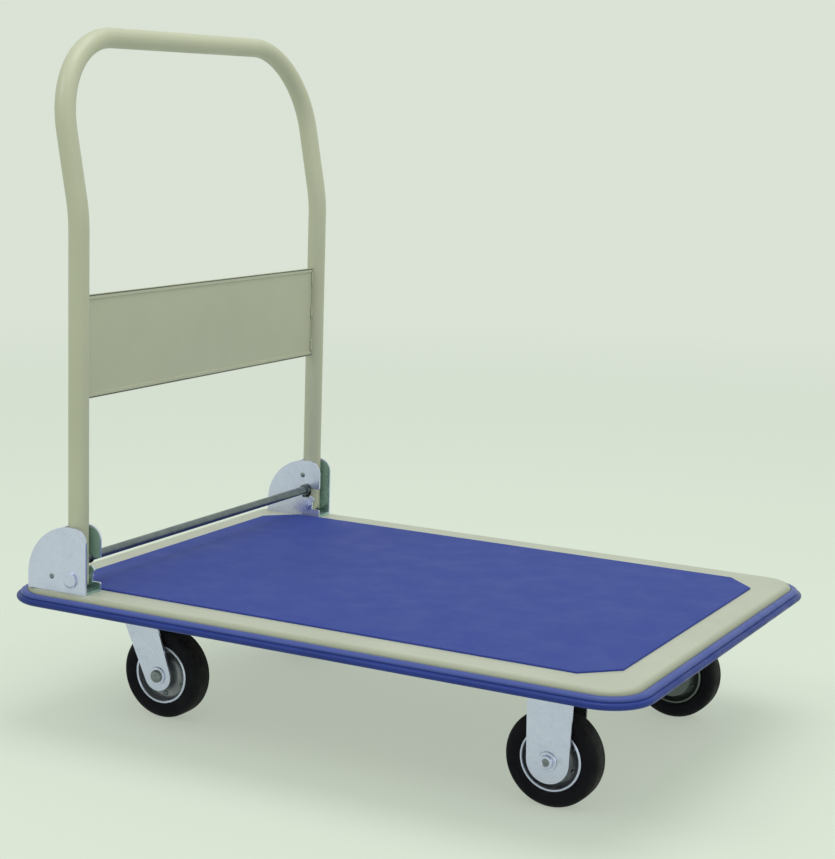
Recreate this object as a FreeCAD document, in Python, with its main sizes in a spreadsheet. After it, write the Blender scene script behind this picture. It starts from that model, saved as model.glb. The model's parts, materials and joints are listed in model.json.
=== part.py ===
import FreeCAD, Part
import math
import os
import re
import Sketcher

# Folding platform cart. X runs from the handle end (-) to the front (+), Y across, Z up.
# The origin lies on the floor, under the middle of the deck. Every size is in millimetres.
# "right" and "left" are those of the person who pushes at the handle and looks along +X.

SIZES = {
    # deck: a pressed sheet tray with a turned-down skirt and a push-on edge bumper
    "deck_length": 740, "deck_width": 550, "deck_corner": 50, "deck_top": 155,
    "deck_sheet": 2, "deck_bottom": 140, "deck_edge_round": 7,
    "bumper_reach": 12, "bumper_bottom": 138.5, "bumper_step": 147, "bumper_top": 150.5,
    "bumper_lip": 5, "bumper_leg": 2.2, "bumper_leg_top": 146, "bumper_nose": 3.5,
    # the mat covers all but the border; its corners are cut off at 45 degrees
    "mat_back": 326, "mat_front": 323, "mat_side": 224, "mat_cut": 34, "mat_thick": 2,
    "mat_chamfer": 0.7,
    # channels welded under the deck
    "member_length": 410, "member_width": 100, "member_bottom": 131, "member_sheet": 2.5,
    "stiffener_y": 95, "stiffener_width": 40, "stiffener_bottom": 139, "stiffener_gap": 1,
    # casters
    "wheel_radius": 50, "wheel_width": 28, "fixed_x": 248, "fixed_y": 171,
    "swivel_x": -262, "swivel_y": 148, "trail": 27,
    "plate_thick": 3, "plate_length": 90, "plate_width": 76, "plate_corner": 8,
    "bolt_reach_x": 35, "bolt_reach_y": 28, "bolt_hole": 4.3, "bolt_spare": 10, "bolt_head_height": 5.3,
    "nut_radius": 7.5, "nut_height": 6.5, "thread_gap": 0.02, "cut_spare": 1,
    "fork_gap": 34, "fork_sheet": 2.5, "fixed_leg_width": 50, "fixed_leg_end": 23,
    "swivel_leg_back": 21, "swivel_leg_front": 24, "swivel_leg_end": 17,
    "crown_top": 112, "crown_radius": 31, "race_radius": 28, "race_top": 117,
    "ball_circle": 21, "ball_radius": 3.175, "ball_height": 118, "ball_gap": 0.3, "ball_count": 16,
    "race_gap": 2, "kingpin_radius": 6, "kingpin_head": 10, "kingpin_bevel": 2, "kingpin_bottom": 105.5,
    "kingpin_gap": 0.3, "running_gap": 0.05, "fork_bend": 1,
    "tyre_seat": 33, "tyre_seat_half": 11, "tyre_wall": 37, "tyre_shoulder": 6,
    "rim_half": 13, "rim_inside": 30, "rim_lip": 2, "rim_rise": 4, "web_half": 1.5, "web_slope": 3,
    "hub_half": 16, "hub_radius": 14, "bearing_radius": 11, "bearing_width": 7, "axle_tube_radius": 6,
    "axle_radius": 4, "axle_spare": 8, "axle_head": 7, "axle_head_thick": 3.5, "axle_head_bevel": 2.5,
    # handle: one bent tube, leaning back above the bend
    "pivot_x": -286, "pivot_height": 170, "handle_half": 242, "tube_radius": 11, "tube_wall": 1.5,
    "bend_start": 543, "bend_radius": 171, "lean": 10.4, "corner_radius": 100, "handle_top": 743,
    "panel_bottom": 363, "panel_top": 474, "panel_sheet": 1.2, "panel_hem": 5, "panel_gap": 0.05,
    # handle brackets: a quarter-round hood on a base, two cheeks, open to the front and top
    "bracket_gap": 23, "bracket_sheet": 2.5, "bracket_base": 3, "bracket_radius": 57,
    "bracket_front": -266, "bracket_corner": 16, "stop_gap": 0.3, "screw_back_x": -328, "screw_front_x": -278,
    "screw_radius": 3, "screw_hole": 3.2, "screw_head": 6, "screw_end": 146, "countersink_gap": 0.1,
    "slot_mouth": 21.5, "slot_tip_radius": 1.6, "screw_nut_radius": 5.8, "screw_nut_height": 5,
    "pivot_bolt": 4, "pivot_spare": 5, "pivot_head": 8,
    "pivot_head_thick": 2.2, "bush_radius": 6.5, "pivot_nut": 7.2, "pivot_nut_height": 4,
    # lock rod: rides in an arc slot about the pivot and drops into a notch at each end
    "lock_raised": 19.5, "lock_drop": 4.8, "lock_radius": 5, "lock_half": 251, "lock_bevel": 1,
    "slot_gap": 0.3,
    "clip_radius": 7, "clip_thick": 1.2, "clip_y": 224.5, "clip_gap": 0.02,
    "spring_pin_height": 222, "spring_pin_radius": 2.5, "spring_radius": 6, "spring_wire": 0.6,
    "spring_turns": 7, "spring_gap": 0.1,
}

document = FreeCAD.newDocument("folding_platform_cart")
sheet = document.addObject("Spreadsheet::Sheet", "Sizes")
for row, (alias, value) in enumerate(SIZES.items(), start=1):
    sheet.set("A%d" % row, alias)
    sheet.set("B%d" % row, str(value))
    sheet.setAlias("B%d" % row, alias)
document.recompute()

PIECES = []


def linked(text):
    """The expression with each size's name pointing at its cell in the sheet."""
    def cell(word):
        return "Sizes." + word[0] if word[0] in SIZES else word[0]

    return re.sub(r"[a-z_]+", cell, str(text))


def size(text):
    """The value of an expression in the sheet's sizes."""
    return float(sheet.evalExpression(linked(text)))


def bind(thing, prop, text):
    thing.setExpression(prop, linked(text))


def place(thing, x="0", y="0", z="0"):
    """Put an object at a point given by three expressions."""
    bind(thing, "Placement.Base.x", x)
    bind(thing, "Placement.Base.y", y)
    bind(thing, "Placement.Base.z", z)


def turn(thing, axis, degrees):
    rotation = FreeCAD.Rotation(FreeCAD.Vector(*axis), degrees)
    thing.Placement = FreeCAD.Placement(thing.Placement.Base, rotation)


def piece(thing, label):
    """Keep an object as one of the cart's pieces, under the name of its file."""
    thing.Label = label
    PIECES.append(thing)
    return thing


# ---- sketches ----

def new_body(label):
    return piece(document.addObject("PartDesign::Body", label + "_body"), label)


def sketch_on(body, plane, offset="0"):
    """An empty sketch on one of the body's origin planes, moved along that plane's normal."""
    sketch = body.newObject("Sketcher::SketchObject", "Sketch")
    origin_plane = [part for part in body.Origin.OriginFeatures if part.Role == plane][0]
    sketch.AttachmentSupport = (origin_plane, [""])
    sketch.MapMode = "FlatFace"
    bind(sketch, "AttachmentOffset.Base.z", offset)
    return sketch


def fix_point(sketch, geometry, point, x, y):
    """Hold a point of the sketch at two expressions measured from the sketch's origin."""
    for kind, text in (("DistanceX", x), ("DistanceY", y)):
        index = sketch.addConstraint(Sketcher.Constraint(kind, -1, 1, geometry, point, size(text)))
        bind(sketch, "Constraints[%d]" % index, text)


def fix_radius(sketch, geometry, radius):
    index = sketch.addConstraint(Sketcher.Constraint("Radius", geometry, size(radius)))
    bind(sketch, "Constraints[%d]" % index, radius)


def arc_between(start, end, radius, side):
    """The short arc from start to end; side 1 turns left along the way, -1 turns right."""
    chord = end - start
    reach = math.sqrt(max(radius ** 2 - chord.Length ** 2 / 4, 0))
    normal = FreeCAD.Vector(-chord.y, chord.x, 0).normalize()
    centre = (start + end) * 0.5 + normal * reach * side
    first, last = (start, end) if side > 0 else (end, start)
    angle = math.atan2(first.y - centre.y, first.x - centre.x)
    sweep = math.atan2(last.y - centre.y, last.x - centre.x) - angle
    return Part.ArcOfCircle(Part.Circle(centre, FreeCAD.Vector(0, 0, 1), radius), angle,
                            angle + sweep % (2 * math.pi))


def outline(sketch, corners):
    """A closed outline. A corner is (x, y), or (x, y, radius, side) where an arc leads to the next one."""
    points = [FreeCAD.Vector(size(corner[0]), size(corner[1]), 0) for corner in corners]
    ends = []
    for index, corner in enumerate(corners):
        start, end = points[index], points[(index + 1) % len(points)]
        if len(corner) == 2:
            geometry = sketch.addGeometry(Part.LineSegment(start, end))
            ends.append((geometry, 1, 2))
            continue
        geometry = sketch.addGeometry(arc_between(start, end, size(corner[2]), corner[3]))
        ends.append((geometry, 1, 2) if corner[3] > 0 else (geometry, 2, 1))
    for index, (geometry, _, end_point) in enumerate(ends):
        following, next_point, _ = ends[(index + 1) % len(ends)]
        sketch.addConstraint(Sketcher.Constraint("Coincident", geometry, end_point, following, next_point))
    for (geometry, start_point, _), corner in zip(ends, corners):
        fix_point(sketch, geometry, start_point, corner[0], corner[1])
        if len(corner) > 2:
            fix_radius(sketch, geometry, corner[2])


def circle(sketch, x, y, radius):
    centre = FreeCAD.Vector(size(x), size(y), 0)
    geometry = sketch.addGeometry(Part.Circle(centre, FreeCAD.Vector(0, 0, 1), size(radius)))
    fix_point(sketch, geometry, 3, x, y)
    fix_radius(sketch, geometry, radius)


def rounded_rectangle(sketch, half_x, half_y, radius):
    """A rectangle about the sketch's origin with four round corners."""
    x, y = "(%s)" % half_x, "(%s)" % half_y
    near_x, near_y = "(%s - (%s))" % (x, radius), "(%s - (%s))" % (y, radius)
    outline(sketch, [
        ("-" + near_x, "-" + y), (near_x, "-" + y, radius, 1),
        (x, "-" + near_y), (x, near_y, radius, 1),
        (near_x, y), ("-" + near_x, y, radius, 1),
        ("-" + x, near_y), ("-" + x, "-" + near_y, radius, 1),
    ])


# ---- features ----

def pad(body, sketch, length, symmetric=False):
    feature = body.newObject("PartDesign::Pad", "Pad")
    feature.Profile = sketch
    feature.SideType = "Symmetric" if symmetric else "One side"
    bind(feature, "Length", length)
    document.recompute()
    return feature


def pocket(body, sketch, length, upward=False, symmetric=False):
    """Cut the sketch's outline out of the body, and make sure that something was cut."""
    before = body.Shape.Volume
    feature = body.newObject("PartDesign::Pocket", "Pocket")
    feature.Profile = sketch
    feature.SideType = "Symmetric" if symmetric else "One side"
    feature.Reversed = upward
    bind(feature, "Length", length)
    document.recompute()
    if body.Shape.Volume > before - 0.1:
        raise ValueError("a pocket in %s cuts nothing" % body.Label)
    return feature


def revolve(body, sketch, axis):
    feature = body.newObject("PartDesign::Revolution", "Revolution")
    feature.Profile = sketch
    feature.ReferenceAxis = (sketch, [axis])
    feature.Angle = 360
    document.recompute()
    return feature


def groove(body, sketch, axis):
    before = body.Shape.Volume
    feature = body.newObject("PartDesign::Groove", "Groove")
    feature.Profile = sketch
    feature.ReferenceAxis = (sketch, [axis])
    feature.Angle = 360
    document.recompute()
    if body.Shape.Volume > before - 0.1:
        raise ValueError("a groove in %s cuts nothing" % body.Label)
    return feature


def edge_names(shape, wanted):
    return ["Edge%d" % (index + 1) for index, edge in enumerate(shape.Edges) if wanted(edge)]


def face_names(shape, wanted):
    return ["Face%d" % (index + 1) for index, face in enumerate(shape.Faces) if wanted(face)]


def level(part, height):
    """Does the whole edge or face lie at this height of the body?"""
    box = part.BoundBox
    return abs(box.ZMin - height) < 0.01 and abs(box.ZMax - height) < 0.01


def dress(body, kind, base, wanted, amount):
    """A fillet or chamfer on the edges that a test picks out."""
    feature = body.newObject("PartDesign::" + kind, kind)
    feature.Base = (base, edge_names(base.Shape, wanted))
    bind(feature, "Radius" if kind == "Fillet" else "Size", amount)
    document.recompute()
    return feature


# ---- shapes for fasteners ----

def cylinder(radius, height, direction="z"):
    """A cylinder that starts at its own origin and runs along +Z or +Y."""
    thing = document.addObject("Part::Cylinder", "Cylinder")
    bind(thing, "Radius", radius)
    bind(thing, "Height", height)
    if direction == "y":
        turn(thing, (1, 0, 0), -90)
    return thing


def ring(outside, inside, height, direction="z"):
    thing = document.addObject("Part::Cut", "Ring")
    thing.Base = cylinder(outside, height, direction)
    thing.Tool = cylinder(inside, height, direction)
    return thing


def hexagon(circumradius, height, direction="z"):
    thing = document.addObject("Part::Prism", "Hexagon")
    thing.Polygon = 6
    bind(thing, "Circumradius", circumradius)
    bind(thing, "Height", height)
    if direction == "y":
        turn(thing, (1, 0, 0), -90)
    return thing


def nut(circumradius, thread, height, direction="z"):
    thing = document.addObject("Part::Cut", "Nut")
    thing.Base = hexagon(circumradius, height, direction)
    thing.Tool = cylinder(thread + " + thread_gap", height, direction)
    return thing


def place_both(cut, x, y, z):
    """Put a ring's or nut's solid and its bore at the same point."""
    for member in (cut.Base, cut.Tool):
        place(member, x, y, z)


def fuse(*things):
    thing = document.addObject("Part::MultiFuse", "Fuse")
    thing.Shapes = list(things)
    return thing


def group(label, things):
    """Identical fasteners share one node, each as its own solid."""
    thing = document.addObject("Part::Compound", label + "_group")
    thing.Links = things
    return piece(thing, label)


def sided(side, text):
    """The expression on the left (+1, +Y) or right (-1, -Y) side of the cart."""
    return "%d * (%s)" % (side, text)


SIDES = (("right", -1), ("left", 1))

# ---- deck ----

METAL_X = "(deck_length / 2 - bumper_reach)"
METAL_Y = "(deck_width / 2 - bumper_reach)"
METAL_CORNER = "(deck_corner - bumper_reach)"
PLATE_TOP = "member_bottom"
PLATE_BOTTOM = "(member_bottom - plate_thick)"
DECK_UNDERSIDE = "(deck_top - deck_sheet)"


def deck_ring(sketch, inset):
    """The deck's rounded outline, inset from the edge of the sheet metal."""
    rounded_rectangle(sketch, "%s - (%s)" % (METAL_X, inset), "%s - (%s)" % (METAL_Y, inset),
                      "%s - (%s)" % (METAL_CORNER, inset))


def screw_places():
    return [(x, sided(side, "handle_half")) for _, side in SIDES for x in ("screw_back_x", "screw_front_x")]


def make_deck_plate():
    """One pressed sheet: flat top, rounded edge and a short skirt, open below."""
    body = new_body("deck_plate")
    blank = sketch_on(body, "XY_Plane", "deck_bottom")
    deck_ring(blank, "0")
    solid = pad(body, blank, "deck_top - deck_bottom")
    edge = dress(body, "Fillet", solid, lambda e: level(e, size("deck_top")), "deck_edge_round")
    shell = body.newObject("PartDesign::Thickness", "Thickness")
    shell.Base = (edge, face_names(edge.Shape, lambda f: level(f, size("deck_bottom"))))
    shell.Reversed = True
    shell.Join = "Intersection"
    bind(shell, "Value", "deck_sheet")
    document.recompute()
    holes = sketch_on(body, "XY_Plane", "deck_top")
    for x, y in screw_places():
        circle(holes, x, y, "screw_hole")
    pocket(body, holes, "deck_sheet + cut_spare")


def make_deck_mat():
    """The non-slip mat, glued on the deck, with its four corners cut off."""
    body = new_body("deck_mat")
    sketch = sketch_on(body, "XY_Plane", "deck_top")
    outline(sketch, [
        ("-mat_back + mat_cut", "-mat_side"), ("mat_front - mat_cut", "-mat_side"),
        ("mat_front", "-mat_side + mat_cut"), ("mat_front", "mat_side - mat_cut"),
        ("mat_front - mat_cut", "mat_side"), ("-mat_back + mat_cut", "mat_side"),
        ("-mat_back", "mat_side - mat_cut"), ("-mat_back", "-mat_side + mat_cut"),
    ])
    solid = pad(body, sketch, "mat_thick")
    dress(body, "Chamfer", solid, lambda e: level(e, size("deck_top + mat_thick")), "mat_chamfer")


def make_edge_bumper():
    """A push-on plastic profile: it grips the skirt, and its nose has two steps."""
    body = new_body("edge_bumper")
    nose = sketch_on(body, "XY_Plane", "bumper_bottom")
    deck_ring(nose, "-bumper_reach")
    deck_ring(nose, "deck_sheet + bumper_leg")
    lower = pad(body, nose, "bumper_step - bumper_bottom")
    lip = sketch_on(body, "XY_Plane", "bumper_step")
    deck_ring(lip, "-bumper_reach + bumper_lip")
    deck_ring(lip, "deck_sheet + bumper_leg")
    pad(body, lip, "bumper_top - bumper_step")
    inner_leg = sketch_on(body, "XY_Plane", "bumper_top")
    deck_ring(inner_leg, "0")
    deck_ring(inner_leg, "deck_sheet + bumper_leg")
    pocket(body, inner_leg, "bumper_top - bumper_leg_top")
    seat = sketch_on(body, "XY_Plane", "bumper_top")
    deck_ring(seat, "0")
    deck_ring(seat, "deck_sheet")
    trim = pocket(body, seat, "bumper_top - deck_bottom")
    reach = size("deck_length / 2")
    dress(body, "Fillet", trim, lambda e: on_nose(e, reach), "bumper_nose")


def on_nose(edge, reach):
    """Is the edge on the bumper's outermost outline, at its bottom or at its step?"""
    if not (level(edge, size("bumper_bottom")) or level(edge, size("bumper_step"))):
        return False
    middle = edge.valueAt((edge.FirstParameter + edge.LastParameter) / 2)
    corner = size("deck_corner")
    over_x = max(abs(middle.x) - (reach - corner), 0)
    over_y = max(abs(middle.y) - (size("deck_width / 2") - corner), 0)
    return abs(math.hypot(over_x, over_y) - corner) < 0.1


def channel_outline(sketch, half_width, bottom, sheet_thick):
    """A U-shaped section, open upward under the deck."""
    inner = "(%s - %s)" % (half_width, sheet_thick)
    floor = "(%s + %s)" % (bottom, sheet_thick)
    outline(sketch, [
        ("-" + half_width, bottom), (half_width, bottom), (half_width, DECK_UNDERSIDE),
        (inner, DECK_UNDERSIDE), (inner, floor), ("-" + inner, floor),
        ("-" + inner, DECK_UNDERSIDE), ("-" + half_width, DECK_UNDERSIDE),
    ])


def caster_bolt_places(side_y):
    """The eight bolts of one axle, about the channel's own middle."""
    return [("%d * bolt_reach_x" % a, "%s + %d * bolt_reach_y" % (sided(side, side_y), b))
            for _, side in SIDES for a in (-1, 1) for b in (-1, 1)]


def make_cross_member(label, x, side_y):
    """A channel across the deck that carries two casters."""
    body = new_body(label)
    section = sketch_on(body, "XZ_Plane")
    channel_outline(section, "(member_width / 2)", "member_bottom", "member_sheet")
    pad(body, section, "member_length", symmetric=True)
    holes = sketch_on(body, "XY_Plane", "member_bottom + member_sheet")
    for hole_x, hole_y in caster_bolt_places(side_y):
        circle(holes, hole_x, hole_y, "bolt_hole")
    pocket(body, holes, "member_sheet + cut_spare")
    place(body, x)


def make_stiffener(name, side):
    """A small channel that ties the two cross members together."""
    body = new_body(name + "_stiffener")
    section = sketch_on(body, "YZ_Plane")
    channel_outline(section, "(stiffener_width / 2)", "stiffener_bottom", "deck_sheet")
    pad(body, section, "fixed_x - swivel_x - member_width - 2 * stiffener_gap", symmetric=True)
    place(body, "(fixed_x + swivel_x) / 2", sided(side, "stiffener_y"))


# ---- casters ----

FORK_HALF = "(fork_gap / 2 + fork_sheet)"


def leg_outline(sketch, back, front, top, axle_x, radius):
    """A fork leg seen from the side: straight edges that run tangent into a round end at the axle."""
    centre = FreeCAD.Vector(size(axle_x), size("wheel_radius"), 0)
    reach = size(radius)
    head = size(top)
    back_top = FreeCAD.Vector(size(back), head, 0)
    front_top = FreeCAD.Vector(size(front), head, 0)
    left_end = centre + FreeCAD.Vector(-reach, 0, 0)
    right_end = centre + FreeCAD.Vector(reach, 0, 0)
    back_line = sketch.addGeometry(Part.LineSegment(back_top, left_end))
    end_circle = Part.Circle(centre, FreeCAD.Vector(0, 0, 1), reach)
    round_end = sketch.addGeometry(Part.ArcOfCircle(end_circle, math.pi, 2 * math.pi))
    front_line = sketch.addGeometry(Part.LineSegment(right_end, front_top))
    top_line = sketch.addGeometry(Part.LineSegment(front_top, back_top))
    sketch.addConstraint(Sketcher.Constraint("Tangent", back_line, 2, round_end, 1))
    sketch.addConstraint(Sketcher.Constraint("Tangent", round_end, 2, front_line, 1))
    sketch.addConstraint(Sketcher.Constraint("Coincident", front_line, 2, top_line, 1))
    sketch.addConstraint(Sketcher.Constraint("Coincident", top_line, 2, back_line, 1))
    fix_point(sketch, back_line, 1, back, top)
    fix_point(sketch, top_line, 1, front, top)
    fix_point(sketch, round_end, 3, axle_x, "wheel_radius")
    fix_radius(sketch, round_end, radius)


def make_fixed_fork(name, side):
    """A rigid fork: a bolted plate with two legs bent down from it."""
    body = new_body("front_%s_fork" % name)
    legs = sketch_on(body, "XZ_Plane")
    leg_outline(legs, "-fixed_leg_width / 2", "fixed_leg_width / 2", PLATE_BOTTOM, "0", "fixed_leg_end")
    pad(body, legs, "2 * " + FORK_HALF, symmetric=True)
    between = sketch_on(body, "XZ_Plane")
    rounded_rectangle(between, "plate_length / 2", "member_bottom - plate_thick", "fork_bend")
    pocket(body, between, "fork_gap", symmetric=True)
    plate = sketch_on(body, "XY_Plane", PLATE_BOTTOM)
    rounded_rectangle(plate, "plate_length / 2", "plate_width / 2", "plate_corner")
    pad(body, plate, "plate_thick")
    drill_plate(body)
    drill_axle(body, "0")
    place(body, "fixed_x", sided(side, "fixed_y"))


def drill_plate(body):
    holes = sketch_on(body, "XY_Plane", PLATE_TOP)
    for a in (-1, 1):
        for b in (-1, 1):
            circle(holes, "%d * bolt_reach_x" % a, "%d * bolt_reach_y" % b, "bolt_hole")
    pocket(body, holes, "plate_thick + cut_spare")


def drill_axle(body, axle_x):
    hole = sketch_on(body, "XZ_Plane")
    circle(hole, axle_x, "wheel_radius", "axle_radius + running_gap")
    pocket(body, hole, "2 * (%s + cut_spare)" % FORK_HALF, symmetric=True)


def race_profile(sketch, top, bottom):
    """Half section of a ring-shaped race about the kingpin."""
    inside = "(kingpin_radius + race_gap)"
    outline(sketch, [(inside, bottom), ("race_radius", bottom), ("race_radius", top), (inside, top)])


def ball_track(body):
    """The round track that the balls run in, cut into a race."""
    track = sketch_on(body, "XZ_Plane")
    circle(track, "ball_circle", "ball_height", "ball_radius + ball_gap")
    groove(body, track, "V_Axis")


def make_swivel_plate(name, side):
    """The bolted top plate of a swivel caster, with the upper race pressed into it."""
    body = new_body("rear_%s_top_plate" % name)
    plate = sketch_on(body, "XY_Plane", PLATE_BOTTOM)
    rounded_rectangle(plate, "plate_length / 2", "plate_width / 2", "plate_corner")
    pad(body, plate, "plate_thick")
    race = sketch_on(body, "XZ_Plane")
    race_profile(race, PLATE_BOTTOM, "race_top + race_gap")
    revolve(body, race, "V_Axis")
    ball_track(body)
    pin_hole = sketch_on(body, "XY_Plane", PLATE_TOP)
    circle(pin_hole, "0", "0", "kingpin_radius")
    pocket(body, pin_hole, "plate_thick")
    drill_plate(body)
    place(body, "swivel_x", sided(side, "swivel_y"))


def make_swivel_fork(name, side):
    """The swivelling fork: trailing legs below a round crown that carries the lower race."""
    body = new_body("rear_%s_fork" % name)
    legs = sketch_on(body, "XZ_Plane")
    leg_outline(legs, "-swivel_leg_back", "swivel_leg_front", "crown_top", "trail", "swivel_leg_end")
    pad(body, legs, "2 * " + FORK_HALF, symmetric=True)
    between = sketch_on(body, "XZ_Plane")
    rounded_rectangle(between, "plate_length", "crown_top - fork_sheet", "fork_bend")
    pocket(body, between, "fork_gap", symmetric=True)
    crown = sketch_on(body, "XY_Plane", "crown_top - fork_sheet")
    circle(crown, "0", "0", "crown_radius")
    pad(body, crown, "fork_sheet")
    race = sketch_on(body, "XZ_Plane")
    race_profile(race, "race_top", "crown_top")
    revolve(body, race, "V_Axis")
    ball_track(body)
    pin_hole = sketch_on(body, "XY_Plane", "crown_top")
    circle(pin_hole, "0", "0", "kingpin_radius + running_gap")
    pocket(body, pin_hole, "fork_sheet + cut_spare")
    drill_axle(body, "trail")
    place(body, "swivel_x", sided(side, "swivel_y"))


def make_kingpin(name, side):
    """The rivet that the fork swivels on, fixed in the top plate, with its head below the crown."""
    body = new_body("rear_%s_kingpin" % name)
    half = sketch_on(body, "XZ_Plane")
    head_top = "(crown_top - fork_sheet - kingpin_gap)"
    outline(half, [
        ("0", "kingpin_bottom"), ("kingpin_head - kingpin_bevel", "kingpin_bottom"),
        ("kingpin_head", head_top),
        ("kingpin_radius", head_top), ("kingpin_radius", PLATE_TOP), ("0", PLATE_TOP),
    ])
    revolve(body, half, "V_Axis")
    place(body, "swivel_x", sided(side, "swivel_y"))


def make_ball_ring(name, side):
    """The ring of steel balls between the two races."""
    balls = []
    for index in range(SIZES["ball_count"]):
        ball = document.addObject("Part::Sphere", "Ball")
        bind(ball, "Radius", "ball_radius")
        angle = "%d * 360 / ball_count" % index
        place(ball, "swivel_x + ball_circle * cos(%s)" % angle,
              sided(side, "swivel_y") + " + ball_circle * sin(%s)" % angle, "ball_height")
        balls.append(ball)
    group("rear_%s_ball_ring" % name, balls)


def make_wheel(name, x, y):
    """Solid rubber tyre on a pressed rim, with a bearing in each end of the hub."""
    tyre = new_body(name + "_tyre")
    section = sketch_on(tyre, "YZ_Plane")
    half = "(wheel_width / 2)"
    shoulder = "(wheel_radius - tyre_shoulder)"
    outline(section, [
        ("-tyre_seat_half", "tyre_seat"), ("tyre_seat_half", "tyre_seat"), (half, "tyre_wall"),
        (half, shoulder, "tyre_shoulder", 1), ("%s - tyre_shoulder" % half, "wheel_radius"),
        ("-%s + tyre_shoulder" % half, "wheel_radius", "tyre_shoulder", 1), ("-" + half, shoulder),
        ("-" + half, "tyre_wall"),
    ])
    revolve(tyre, section, "H_Axis")
    place(tyre, x, y, "wheel_radius")

    rim = new_body(name + "_rim")
    section = sketch_on(rim, "YZ_Plane")
    slope = "(hub_radius + web_slope)"
    web_root = "(web_half + rim_lip)"
    outline(section, [
        ("-hub_half", "bearing_radius"), ("hub_half", "bearing_radius"), ("hub_half", "hub_radius"),
        (web_root, slope), ("web_half", slope + " + web_slope"), ("web_half", "rim_inside - rim_rise"),
        ("rim_half - rim_lip", "rim_inside"), ("rim_half", "rim_inside"), ("rim_half", "tyre_seat"),
        ("-rim_half", "tyre_seat"), ("-rim_half", "rim_inside"), ("-rim_half + rim_lip", "rim_inside"),
        ("-web_half", "rim_inside - rim_rise"), ("-web_half", slope + " + web_slope"),
        ("-" + web_root, slope),
        ("-hub_half", "hub_radius"),
    ])
    revolve(rim, section, "H_Axis")
    place(rim, x, y, "wheel_radius")

    bearings = []
    for start in ("-hub_half", "hub_half - bearing_width"):
        bearing = ring("bearing_radius", "axle_tube_radius + running_gap", "bearing_width", "y")
        place_both(bearing, x, "%s + %s" % (y, start), "wheel_radius")
        bearings.append(bearing)
    group(name + "_bearings", bearings)


def make_axle(name, side, x, y):
    """Axle bolt with a round head on the outside, the tube that it clamps, and its nut inside."""
    head_start = sided(side, FORK_HALF)
    bolt = new_body(name + "_axle_bolt")
    section = sketch_on(bolt, "YZ_Plane")
    nut_end = sided(-side, FORK_HALF + " + axle_spare")
    head_end = sided(side, FORK_HALF + " + axle_head_thick")
    outline(section, [
        (nut_end, "0"), (head_end, "0"), (head_end, "axle_head - axle_head_bevel"),
        (head_start, "axle_head"), (head_start, "axle_radius"), (nut_end, "axle_radius"),
    ])
    revolve(bolt, section, "H_Axis")
    place(bolt, x, y, "wheel_radius")

    tube = new_body(name + "_axle_tube")
    section = sketch_on(tube, "XZ_Plane")
    circle(section, "0", "0", "axle_tube_radius")
    circle(section, "0", "0", "axle_radius + running_gap")
    pad(tube, section, "fork_gap", symmetric=True)
    place(tube, x, y, "wheel_radius")

    fastener = nut("nut_radius", "axle_radius", "nut_height", "y")
    start = "%s + %s" % (y, FORK_HALF if side < 0 else "-(%s + nut_height)" % FORK_HALF)
    place_both(fastener, x, start, "wheel_radius")
    piece(fastener, name + "_axle_nut")


def make_caster_bolts(label, x, side_y):
    """Eight hexagon bolts from below and their nuts inside the channel."""
    bolts = []
    nuts = []
    for bolt_x, bolt_y in caster_bolt_places(side_y):
        head = hexagon("nut_radius", "bolt_head_height")
        place(head, "%s + %s" % (x, bolt_x), bolt_y, "%s - bolt_head_height" % PLATE_BOTTOM)
        shank = cylinder("axle_radius", "plate_thick + member_sheet + bolt_spare")
        place(shank, "%s + %s" % (x, bolt_x), bolt_y, PLATE_BOTTOM)
        bolts.append(fuse(head, shank))
        fastener = nut("nut_radius", "axle_radius", "nut_height")
        place_both(fastener, "%s + %s" % (x, bolt_x), bolt_y, "member_bottom + member_sheet")
        nuts.append(fastener)
    group(label + "_caster_bolts", bolts)
    group(label + "_caster_nuts", nuts)


# ---- handle brackets ----

BRACKET_HALF = "(bracket_gap / 2 + bracket_sheet)"
HOOD_X = "(pivot_x - tube_radius - stop_gap)"


def on_pivot_circle(x, radius):
    """Height at x of a circle about the pivot."""
    return "(pivot_height + sqrt((%s)^2 - (%s - pivot_x)^2))" % (radius, x)


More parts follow.
